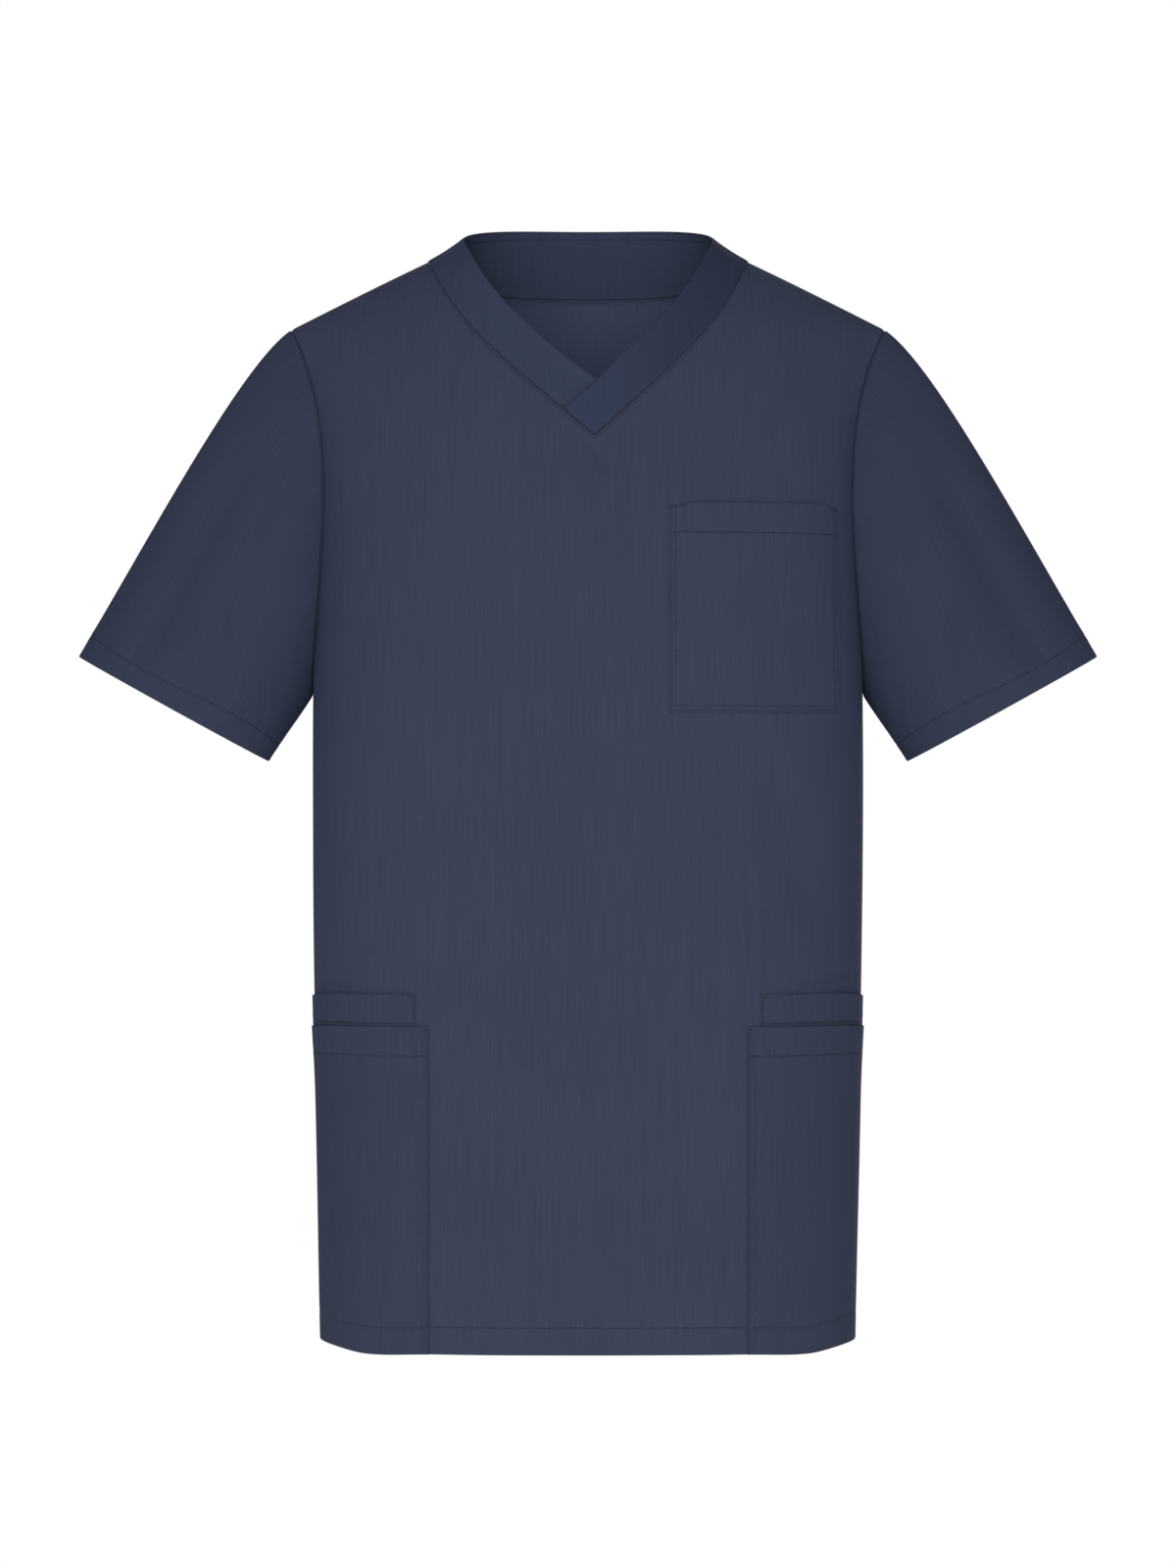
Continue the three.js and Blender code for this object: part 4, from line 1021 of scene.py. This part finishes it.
# Points along each line that stitches follow
HEM_POINTS, NECK_POINTS, BREAST_POINTS, SIDE_POINTS, SHORT_POINTS, TACK_POINTS = 400, 160, 120, 200, 30, 12
NECK_THREAD_LIFT = 0.12  # the neckline's stitches lie this much higher in their dip
POCKET_DIP = 0.6  # share of the dip in which a pocket's stitches lie
PEN_LINE = 11.5  # a short upright line in the breast pocket's hem, this far from its inner edge
HEM_LINE_END = 5.0  # the breast pocket's hem line stops this far from both edges
HEM_LINE_SHARES = (0.04, 0.99)  # where across a side pocket its hem line begins and ends
BREAST_TACKS = ((BREAST_FROM + 6.0, 11.0), (BREAST_TO - 5.2, 9.0))  # middle and length of its bar tacks
BREAST_TACK_DROP, BREAST_TACK_ROWS = 3.8, 2  # below the mouth
SIDE_TACK_IN, SIDE_TACK_LENGTH = 4.0, 6.0  # its middle from the pocket's inner edge, and its length
SIDE_TACK_DROP, SIDE_TACK_ROWS = 2.0, 1
TACK_STITCH, TACK_OVERLAP = 1.5, 0.5  # the stitches of a bar tack run into each other
TACK_THICKNESS, TACK_LIFT = 1.5, 0.1  # of the thread's width, and above the pocket


def along_path(path, outward, pitch):
    """Centres, tangents and outward directions of stitches spaced along a path."""
    lengths = np.concatenate([[0], np.cumsum(np.linalg.norm(np.diff(path, axis=0), axis=1))])
    count = max(1, int(lengths[-1] / pitch))
    middle = (np.arange(count) + 0.5) * lengths[-1] / count

    def pick(table, at):
        return np.stack([np.interp(at, lengths, table[:, k]) for k in range(3)], -1)

    reach = 0.3
    tangent = unit(pick(path, middle + reach) - pick(path, middle - reach))
    return pick(path, middle), tangent, unit(pick(outward, middle))


def stitches(path, outward, length, width, gap=0.5, lift=0.04):
    """Centres and half axes of a line of lockstitches, each a short length of thread on the cloth."""
    centre, tangent, out = along_path(path, outward, length + gap)
    axes = (tangent * length / 2, np.cross(out, tangent) * width / 2, out * width * THREAD_FLAT)
    return centre + out * lift, np.stack(axes, 1)


def thread_piece(name, rows, material):
    """All stitches of one seam or pocket as one mesh: one rounded stitch, copied and laid along the rows."""
    centres, axes = (np.concatenate(parts) for parts in zip(*rows))
    copies = bpy.data.meshes.new(name + "_copies")
    bm = bmesh.new()
    bmesh.ops.create_uvsphere(bm, u_segments=6, v_segments=4, radius=1.0)
    bm.to_mesh(copies)
    bm.free()
    # A new bmesh has no gaps left by the sphere's making, so its copies stay in order.
    bm = bmesh.new()
    bm.from_mesh(copies)
    one = np.array([v.co for v in bm.verts])
    while len(bm.verts) < len(one) * len(centres):
        bm.to_mesh(copies)
        bm.from_mesh(copies)
    bpy.data.meshes.remove(copies)
    spots = (one @ axes + centres[:, None, :]).reshape(-1, 3) * MM
    for vert, spot in zip(bm.verts, spots):
        vert.co = spot
    bm.verts.ensure_lookup_table()
    bmesh.ops.delete(bm, geom=bm.verts[len(spots):], context="VERTS")
    for face in bm.faces:
        face.smooth = True
    sew_on(finished(name, bm, material), None)


def hem_lines():
    lines = []
    for side in (FRONT, BACK):
        panel = PANELS[side]
        level = HEM_Z + HEM_FOLD
        reach = float(panel.length(level)) - LINE_ENDS
        stretches = [(-reach, reach, 0)]
        if side == FRONT:
            pocket = SIDE_FROM + POCKET_OVERLAP
            inner = pocket - LINE_ENDS
            stretches = [(-inner, inner, 0), (pocket, reach, 1), (-pocket, -reach, 1)]
        for start, end, on_pocket in stretches:
            d = np.linspace(start, end, HEM_POINTS)
            share = (np.abs(d) - SIDE_FROM) / (reach - SIDE_FROM)
            lift = wide_lift(level, share) * on_pocket - STITCH_DIP
            lines.append(panel.at(level, d, lift))
    return lines


def cuff_lines():
    end = math.pi - 0.02
    angle = np.linspace(-end, end, HEM_POINTS)
    lines = []
    for hand in (LEFT, RIGHT):
        share = 1 - cuff_fold(angle) / sleeve_length(hand, angle)
        lines.append(sleeve_at(hand, angle, share, -STITCH_DIP))
    return lines


def neck_lines():
    """One line on the panels beside the neckline, and one along the back band's top on both its faces."""
    lines = []
    end = NECK_AT - 2
    stretches = ((FRONT, -end, LAP_END), (FRONT, LAP_END, V_X), (FRONT, V_X, end), (BACK, -end, end))
    for side, low, high in stretches:
        d = np.linspace(low, high, NECK_POINTS)
        p, n = neckline(side, d)
        edge = front_edge(d) if side == FRONT else back_edge(d)
        lines.append((p - unit(edge - p) * NECK_STITCH - n * (STITCH_DIP - NECK_THREAD_LIFT), n))
    points, outward = back_band()
    for inner in (0, 1):
        up = lengths_along(points, 1)
        row = np.array([np.interp(u[-1] - BAND_TOPSTITCH, u, np.arange(len(u))) for u in up])
        i = np.minimum(row.astype(int), points.shape[1] - 2)
        at = np.arange(len(points))
        p = mix(points[at, i], points[at, i + 1], (row - i)[:, None])
        n = unit(outward[at, i])
        lines.append((p - n * (BAND_WALL * inner), n * (1 - 2 * inner)))
    return lines


def patch_line(level, distance, lift):
    return PANELS[FRONT].at(level, distance, lift - STITCH_DIP * POCKET_DIP)


def breast_line(level, off):
    """A line on the breast pocket, by heights and distances from its inner edge."""
    level, off = np.broadcast_arrays(level, off)
    share = off / (BREAST_TO - BREAST_FROM)
    lift = POCKET_LIFT + gape(BREAST_GAPE, share, level, BREAST_MOUTH)
    return patch_line(level, BREAST_FROM + off, lift)


def breast_lines():
    width = BREAST_TO - BREAST_FROM
    lines = []
    for off in TOPSTITCHES:
        up = np.linspace(BREAST_BOTTOM + off, BREAST_MOUTH - 4, BREAST_POINTS)
        across = np.linspace(off, width - off, BREAST_POINTS)
        lines += [breast_line(up, off), breast_line(up, width - off)]
        lines.append(breast_line(BREAST_BOTTOM + off, across))
    hem_line = BREAST_MOUTH - POCKET_HEM
    lines.append(breast_line(hem_line, np.linspace(HEM_LINE_END, width - HEM_LINE_END, NECK_POINTS)))
    lines.append(breast_line(np.linspace(hem_line, BREAST_MOUTH - 3, SHORT_POINTS), PEN_LINE))
    return lines


def side_lines():
    lines = []
    for hand in (LEFT, RIGHT):
        for off in TOPSTITCHES:
            level = np.linspace(HEM_Z + 2, SIDE_MOUTH - 2, SIDE_POINTS)
            share = off / (PANELS[FRONT].length(level) - SIDE_FROM)
            lines.append(patch_line(level, hand * (SIDE_FROM + off), wide_lift(level, share)))
        level = np.linspace(SIDE_MOUTH + 1, INNER_MOUTH - 2, SHORT_POINTS)
        lines.append(patch_line(level, hand * (NECK_AT + TOPSTITCHES[0]), POCKET_LIFT))
        pockets = ((SIDE_FROM, SIDE_MOUTH, wide_lift), (NECK_AT, INNER_MOUTH, narrow_lift))
        for start, mouth, lift_of in pockets:
            level = mouth - POCKET_HEM
            share = np.linspace(*HEM_LINE_SHARES, SIDE_POINTS)
            distance = hand * mix(start, PANELS[FRONT].length(level), share)
            lines.append(patch_line(level, distance, lift_of(level, share)))
    return lines


def bar_tacks(thread_width):
    """Dense bars of thread that hold a pocket's corners at its mouth."""
    tacks = []
    level = BREAST_MOUTH - BREAST_TACK_DROP
    places = [(middle, level, long, BREAST_TACK_ROWS) for middle, long in BREAST_TACKS]
    for hand in (LEFT, RIGHT):
        for edge, mouth in ((SIDE_FROM, SIDE_MOUTH), (NECK_AT, INNER_MOUTH)):
            middle = hand * (edge + SIDE_TACK_IN)
            places.append((middle, mouth - SIDE_TACK_DROP, SIDE_TACK_LENGTH, SIDE_TACK_ROWS))
    for middle, level, long, rows in places:
        for row in range(rows):
            d = np.linspace(middle - long / 2, middle + long / 2, TACK_POINTS)
            p, n = PANELS[FRONT].at(level + row, d, POCKET_LIFT + TACK_LIFT)
            tacks.append(stitches(p, n, TACK_STITCH, thread_width * TACK_THICKNESS, gap=-TACK_OVERLAP))
    return tacks


# Materials
def poplin(name, cloth, streak=0.08, roughness=0.84):
    """Plain-woven polyester and cotton poplin, piece-dyed: a dull even face with faint lengthwise slubs,
    a soft bloom at grazing angles, and shade painted into its colour from the 'seam' attribute."""
    material, tree = new_material(name)
    cut = add_node(tree, "ShaderNodeUVMap", {"uv_map": "cut"})
    # Slubs are about 0.8 mm wide and 40 mm long; the broad bars in the warp are about 6 mm wide.
    streaks = []
    for scale, detail in (((1250, 26, 1), 2.0), ((170, 5, 1), 1.0)):
        drawn_out = add_node(tree, "ShaderNodeMapping", {"Scale": scale}, {"Vector": cut.outputs["UV"]})
        settings = {"Scale": 1.0, "Detail": detail}
        streaks.append(add_node(tree, "ShaderNodeTexNoise", settings, {"Vector": drawn_out.outputs[0]}))
    slub, bars = streaks
    # The dye is uneven in soft spots about 70 mm across.
    place = add_node(tree, "ShaderNodeTexCoord").outputs["Object"]
    mottle = add_node(tree, "ShaderNodeTexNoise", {"Scale": 14.0, "Detail": 2.0}, {"Vector": place})
    # Threads lie 0.4 mm apart in the real cloth; 0.9 mm is as coarse as they need to be to show.
    split = add_node(tree, "ShaderNodeSeparateXYZ", None, {"Vector": cut.outputs["UV"]})
    waves = []
    for axis in ("X", "Y"):
        settings = {"operation": "MULTIPLY", 1: math.pi / (0.9 * MM)}
        turns = add_node(tree, "ShaderNodeMath", settings, {0: split.outputs[axis]})
        waves.append(add_node(tree, "ShaderNodeMath", {"operation": "SINE"}, {0: turns.outputs[0]}))
    crossed = {0: waves[0].outputs[0], 1: waves[1].outputs[0]}
    weave = add_node(tree, "ShaderNodeMath", {"operation": "MULTIPLY"}, crossed)
    settings = {"operation": "MULTIPLY_ADD", 1: 2.4}
    height = add_node(tree, "ShaderNodeMath", settings, {0: slub.outputs[0], 2: weave.outputs[0]})
    settings = {"Strength": 0.55, "Distance": 0.00006}
    bump = add_node(tree, "ShaderNodeBump", settings, {"Height": height.outputs[0]})
    tones = []
    for noise, swing in ((slub, streak), (bars, 0.02), (mottle, 0.025)):
        settings = {"From Min": 0.3, "From Max": 0.7, "To Min": 1 - swing, "To Max": 1 + swing}
        tones.append(add_node(tree, "ShaderNodeMapRange", settings, {"Value": noise.outputs[0]}))
    # Painted shade: the 'seam' attribute darkens the colour by up to 40 % beside seams, stitching, pocket
    # edges and creases.
    seam = add_node(tree, "ShaderNodeAttribute", {"attribute_name": "seam"})
    settings = {"To Min": 1.0, "To Max": 0.6}
    tones.append(add_node(tree, "ShaderNodeMapRange", settings, {"Value": seam.outputs["Fac"]}))
    tone = tones[0]
    for other in tones[1:]:
        factors = {0: tone.outputs[0], 1: other.outputs[0]}
        tone = add_node(tree, "ShaderNodeMath", {"operation": "MULTIPLY"}, factors)
    settings = {"operation": "SCALE", 0: cloth[:3]}
    dye = add_node(tree, "ShaderNodeVectorMath", settings, {"Scale": tone.outputs[0]})
    settings = {"To Min": roughness - 0.06, "To Max": roughness + 0.06}
    gloss = add_node(tree, "ShaderNodeMapRange", settings, {"Value": slub.outputs[0]})
    bloom = linear("#4A568C")
    settings = {"Specular IOR Level": 0.06, "Sheen Weight": 0.1, "Sheen Roughness": 0.5, "Sheen Tint": bloom}
    links = {"Base Color": dye.outputs[0], "Roughness": gloss.outputs[0], "Normal": bump.outputs[0]}
    shader = add_node(tree, "ShaderNodeBsdfPrincipled", settings, links)
    add_node(tree, "ShaderNodeOutputMaterial", None, {"Surface": shader.outputs[0]})
    return material


def polyester_thread(name, colour):
    """Spun polyester sewing thread, dyed to match: a little smoother than the cloth, with its twist."""
    material, tree = new_material(name)
    place = add_node(tree, "ShaderNodeTexCoord").outputs["Object"]
    # The plies turn about once in 0.5 mm.
    twist = add_node(tree, "ShaderNodeTexNoise", {"Scale": 1800.0, "Detail": 1.0}, {"Vector": place})
    tone = add_node(tree, "ShaderNodeMapRange", {"To Min": 0.8, "To Max": 1.2}, {"Value": twist.outputs[0]})
    settings = {"operation": "SCALE", 0: colour[:3]}
    dye = add_node(tree, "ShaderNodeVectorMath", settings, {"Scale": tone.outputs[0]})
    settings = {"Roughness": 0.6, "Specular IOR Level": 0.3}
    shader = add_node(tree, "ShaderNodeBsdfPrincipled", settings, {"Base Color": dye.outputs[0]})
    add_node(tree, "ShaderNodeOutputMaterial", None, {"Surface": shader.outputs[0]})
    return material


def glowing_background_paper(name, colour):
    """Matt white paper rolled out under the garment, with a painted glow that lights the garment from below.
    """
    material, tree = new_material(name)
    place = add_node(tree, "ShaderNodeTexCoord").outputs["Object"]
    # The paper's cloudiness is about 25 mm across.
    cloud = add_node(tree, "ShaderNodeTexNoise", {"Scale": 40.0, "Detail": 3.0}, {"Vector": place})
    tone = add_node(tree, "ShaderNodeMapRange", {"To Min": 0.98, "To Max": 1.0}, {"Value": cloud.outputs[0]})
    settings = {"operation": "SCALE", 0: colour[:3]}
    paper = add_node(tree, "ShaderNodeVectorMath", settings, {"Scale": tone.outputs[0]})
    # Painted glow: the paper emits light, which also falls on the garment from below.
    settings = {"Roughness": 0.9, "Emission Color": (1, 1, 1, 1), "Emission Strength": 0.3}
    shader = add_node(tree, "ShaderNodeBsdfPrincipled", settings, {"Base Color": paper.outputs[0]})
    add_node(tree, "ShaderNodeOutputMaterial", None, {"Surface": shader.outputs[0]})
    return material


def shared_material(name, make, part):
    """The named material, made once from the user's colour for that part."""
    colours = bpy.context.scene.scrub_top_colours
    return bpy.data.materials.get(name) or make(name, tuple(getattr(colours, part)))


def body_cloth():
    return shared_material("navy_poplin_woven_body", poplin, "body")


def inside_cloth_painted_light():
    """The same cloth from inside, painted a little lighter: painted light on the inner faces seen through the
    neck.
    """
    return shared_material("navy_poplin_woven_inside", poplin, "inside")


def sleeve_cloth():
    return shared_material("navy_poplin_woven_sleeves", poplin, "sleeves")


def neckband_cloth():
    return shared_material("navy_poplin_woven_neckband", poplin, "neckband")


def lap_cloth_painted_shade():
    """The lapping half of the neckband, painted a little darker than the other pieces: painted shade."""
    return shared_material("navy_poplin_woven_lap", poplin, "lap")


def pocket_cloth():
    return shared_material("navy_poplin_woven_pockets", poplin, "pockets")


def thread():
    return shared_material("navy_polyester_spun_thread", polyester_thread, "thread")


def studio_floor():
    return shared_material("background_paper_matt", glowing_background_paper, "floor")


def declare_cut(piece):
    """Reads the cloth's cut from its UVs, which hold it in metres; nothing more is done with it."""
    mesh = piece.data
    uv = np.empty(len(mesh.loops) * 2)
    mesh.uv_layers["cut"].data.foreach_get("uv", uv)
    uv = uv.reshape(-1, 2)


# What a user may change
def colour_property(name, description, hex_colour):
    return bpy.props.FloatVectorProperty(
        name=name, description=description, size=4, subtype="COLOR", min=0.0, max=1.0,
        default=linear(hex_colour))


# The parts' colours were each matched to how dark that part looks in place: the sleeves', neckband's and
# pockets' darker tones are partly the cloth's and partly painted shade.
class ScrubTopColours(bpy.types.PropertyGroup):
    body: colour_property("Body", "Front and back from outside, and breast pocket", "#3B4256")
    # Painted light: lighter than the body's colour.
    inside: colour_property("Inside", "Inside of the front and the back", "#4B546E")
    sleeves: colour_property("Sleeves", "Cloth of both sleeves", "#373E52")
    neckband: colour_property("Neckband", "Back and right pieces of the neckband", "#384055")
    # Painted shade: darker than the neckband's colour.
    lap: colour_property("Lapping neckband", "Left piece of the neckband, which laps over", "#353D53")
    pockets: colour_property("Side pockets", "Cloth of the layered pockets", "#394053")
    thread: colour_property("Thread", "Topstitching and bar tacks", "#272C3C")
    floor: colour_property("Floor", "Background paper under the garment", "#F4F4F2")


class ScrubTopSewing(bpy.types.PropertyGroup):
    cloth_thickness: bpy.props.FloatProperty(
        name="Cloth thickness", description="Thickness of the front, the back and the sleeves",
        default=0.9 * MM, min=0.3 * MM, max=2.0 * MM, precision=5, subtype="DISTANCE", unit="LENGTH")
    stitch_length: bpy.props.FloatProperty(
        name="Stitch length", description="Length of one stitch of topstitching",
        default=2.3 * MM, min=1.0 * MM, max=6.0 * MM, precision=4, subtype="DISTANCE", unit="LENGTH")
    thread_width: bpy.props.FloatProperty(
        name="Thread width", description="Thickness of the sewing thread",
        default=0.34 * MM, min=0.2 * MM, max=1.0 * MM, precision=5, subtype="DISTANCE", unit="LENGTH")


class ScrubTopStudio(bpy.types.PropertyGroup):
    camera_distance: bpy.props.FloatProperty(
        name="Camera distance", description="From the camera to the shoulder seams",
        default=3.9, min=1.0, max=10.0, subtype="DISTANCE", unit="LENGTH")
    eye_height: bpy.props.FloatProperty(
        name="Camera height", description="Height of the camera against the high shoulder points",
        default=-0.3724, min=-2.0, max=2.0, subtype="DISTANCE", unit="LENGTH")
    floor_height: bpy.props.FloatProperty(
        name="Floor height", description="Height of the studio floor against the high shoulder points",
        default=-1.45, min=-3.0, max=-0.8, subtype="DISTANCE", unit="LENGTH")
    light_power: bpy.props.FloatProperty(
        name="Soft lights", description="Power of each of the large lights in front and behind",
        default=101.0, min=0.0, max=900.0, unit="POWER")
    room_light: bpy.props.FloatProperty(
        name="Room light", description="Share of the white room's light that falls on the garment",
        default=0.36, min=0.0, max=3.0, subtype="FACTOR")


class SCRUBTOP_OT_panels(bpy.types.Operator):
    """Sews the front and the back, with their turned hem"""

    bl_idname = "scrub_top.panels"
    bl_label = "Front and back"

    def execute(self, context):
        thickness = context.scene.scrub_top_sewing.cloth_thickness / MM
        for name, side in (("front", FRONT), ("back", BACK)):
            piece = build_panel(name + "_cloth", side, body_cloth(), inside_cloth_painted_light(), thickness)
            sew_on(piece, name + "_panel")
            declare_cut(piece)
        return {"FINISHED"}


class SCRUBTOP_OT_sleeves(bpy.types.Operator):
    """Sets in both sleeves, with their turned cuffs"""

    bl_idname = "scrub_top.sleeves"
    bl_label = "Sleeves"

    def execute(self, context):
        thickness = context.scene.scrub_top_sewing.cloth_thickness / MM
        for node, hand in (("sleeve_left", LEFT), ("sleeve_right", RIGHT)):
            piece = build_sleeve(node + "_cloth", hand, sleeve_cloth(), thickness)
            sew_on(piece, node)
            declare_cut(piece)
        return {"FINISHED"}


class SCRUBTOP_OT_neckband(bpy.types.Operator):
    """Sews on the three pieces of the doubled neckband, the left lapping over the right"""

    bl_idname = "scrub_top.neckband"
    bl_label = "Neckband"

    def execute(self, context):
        pieces = (
            ("neckband_left", front_band(LEFT), lap_cloth_painted_shade()),
            ("neckband_right", front_band(RIGHT), neckband_cloth()),
            ("neckband_back", back_band(), neckband_cloth()),
        )
        for node, strip, material in pieces:
            piece = build_band(node + "_cloth", strip, material)
            sew_on(piece, node)
            declare_cut(piece)
        return {"FINISHED"}


class SCRUBTOP_OT_breast_pocket(bpy.types.Operator):
    """Sews the breast pocket on the wearer's left"""

    bl_idname = "scrub_top.breast_pocket"
    bl_label = "Breast pocket"

    def execute(self, context):
        piece = build_breast_pocket("breast_pocket_cloth", body_cloth())
        sew_on(piece, "breast_pocket")
        declare_cut(piece)
        return {"FINISHED"}


class SCRUBTOP_OT_side_pockets(bpy.types.Operator):
    """Sews the layered pockets at both sides of the hem, the narrow one under the wide one"""

    bl_idname = "scrub_top.side_pockets"
    bl_label = "Side pockets"

    def execute(self, context):
        for name, hand in (("left", LEFT), ("right", RIGHT)):
            for node, build in (("inner_pocket_", build_narrow_pocket), ("side_pocket_", build_wide_pocket)):
                piece = build(node + name + "_cloth", hand, pocket_cloth())
                sew_on(piece, node + name)
                declare_cut(piece)
        return {"FINISHED"}


class SCRUBTOP_OT_stitching(bpy.types.Operator):
    """Topstitches the hem, cuffs, neckline and pockets, and bars the pockets' corners"""

    bl_idname = "scrub_top.stitching"
    bl_label = "Stitching"

    def execute(self, context):
        sewing = context.scene.scrub_top_sewing
        seams = {
            "hem_stitches": hem_lines(),
            "cuff_stitches": cuff_lines(),
            "neck_stitches": neck_lines(),
            "breast_pocket_stitches": breast_lines(),
            "side_pocket_stitches": side_lines(),
        }
        long, wide = sewing.stitch_length / MM, sewing.thread_width / MM
        for name, lines in seams.items():
            thread_piece(name, [stitches(path, outward, long, wide) for path, outward in lines], thread())
        thread_piece("bar_tacks", bar_tacks(wide), thread())
        return {"FINISHED"}


class SCRUBTOP_OT_stage(bpy.types.Operator):
    """Sets the white studio: a pale floor, soft light and the camera"""

    bl_idname = "scrub_top.stage"
    bl_label = "Stage"

    def execute(self, context):
        scene, studio = context.scene, context.scene.scrub_top_studio
        bm = bmesh.new()
        bmesh.ops.create_circle(bm, cap_ends=True, segments=96, radius=FLOOR_RADIUS)
        bmesh.ops.translate(bm, verts=bm.verts, vec=(0, 0, studio.floor_height))
        floor = finished("studio_floor", bm, studio_floor())
        floor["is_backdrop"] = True
        for name, place in LIGHTS.items():
            add_area_light(scene, name, place, studio.light_power)
        add_white_room(scene, studio.room_light)
        scene.view_settings.view_transform = "Standard"
        scene.view_settings.look = "None"
        add_camera(scene, studio)
        return {"FINISHED"}


def add_white_room(scene, room_light):
    """A white room, lit brightly enough to be seen as white, of which a part falls on the garment."""
    world = bpy.data.worlds.new("white_room")
    world.use_nodes = True
    tree = world.node_tree
    tree.nodes.clear()
    ray = add_node(tree, "ShaderNodeLightPath")
    settings = {"To Min": room_light, "To Max": 1.0}
    seen = {"Value": ray.outputs["Is Camera Ray"]}
    strength = add_node(tree, "ShaderNodeMapRange", settings, seen)
    white = add_node(tree, "ShaderNodeBackground", {"Color": (1, 1, 1, 1)}, {"Strength": strength.outputs[0]})
    add_node(tree, "ShaderNodeOutputWorld", None, {"Surface": white.outputs[0]})
    scene.world = world


def add_area_light(scene, name, place, power):
    light = bpy.data.lights.new(name, "AREA")
    light.size = LIGHT_SIZE
    light.energy = power
    lamp = bpy.data.objects.new(name, light)
    lamp.location = place
    way = Vector(GARMENT_MIDDLE) - Vector(place)
    lamp.rotation_euler = way.to_track_quat("-Z", "Y").to_euler()
    scene.collection.objects.link(lamp)


def add_camera(scene, studio):
    """The camera stands level in front of the garment, where a pixel of the tall picture is 0.7 mm."""
    camera = bpy.data.cameras.new("camera")
    camera.sensor_width = SENSOR_WIDTH
    camera.lens = SENSOR_WIDTH * studio.camera_distance / (FRAME_HEIGHT * PIXEL_SIZE * MM)
    camera.clip_end = VIEW_REACH
    body = bpy.data.objects.new("camera", camera)
    body.location = (0.0, -studio.camera_distance, studio.eye_height)
    body.rotation_euler = (math.pi / 2, 0, 0)
    scene.collection.objects.link(body)
    scene.camera = body


OPERATORS = (
    SCRUBTOP_OT_panels,
    SCRUBTOP_OT_sleeves,
    SCRUBTOP_OT_neckband,
    SCRUBTOP_OT_breast_pocket,
    SCRUBTOP_OT_side_pockets,
    SCRUBTOP_OT_stitching,
    SCRUBTOP_OT_stage,
)


class SCRUBTOP_PT_sidebar(bpy.types.Panel):
    """Lists the scrub top's pieces in the order they are sewn"""

    bl_idname = "SCRUBTOP_PT_sidebar"
    bl_label = "Scrub Top"
    bl_space_type = "VIEW_3D"
    bl_region_type = "UI"
    bl_category = "Scrub Top"

    def draw(self, context):
        for operator in OPERATORS:
            self.layout.operator(operator.bl_idname)
        scene = context.scene
        for group in (scene.scrub_top_colours, scene.scrub_top_sewing, scene.scrub_top_studio):
            box = self.layout.box()
            for name in group.__annotations__:
                box.prop(group, name)


CLASSES = (ScrubTopColours, ScrubTopSewing, ScrubTopStudio, *OPERATORS, SCRUBTOP_PT_sidebar)


def register():
    for cls in CLASSES:
        bpy.utils.register_class(cls)
    bpy.types.Scene.scrub_top_colours = bpy.props.PointerProperty(type=ScrubTopColours)
    bpy.types.Scene.scrub_top_sewing = bpy.props.PointerProperty(type=ScrubTopSewing)
    bpy.types.Scene.scrub_top_studio = bpy.props.PointerProperty(type=ScrubTopStudio)


def unregister():
    del bpy.types.Scene.scrub_top_studio
    del bpy.types.Scene.scrub_top_sewing
    del bpy.types.Scene.scrub_top_colours
    for cls in reversed(CLASSES):
        bpy.utils.unregister_class(cls)


def plain(box):
    return [[float(x) for x in corner] for corner in box]


def main():
    register()
    for operator in OPERATORS:
        group, name = operator.bl_idname.split(".")
        getattr(getattr(bpy.ops, group), name)()
    {"cad": plain(CAD_BOX), "visual": plain(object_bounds())}


if __name__ == "__main__":
    main()
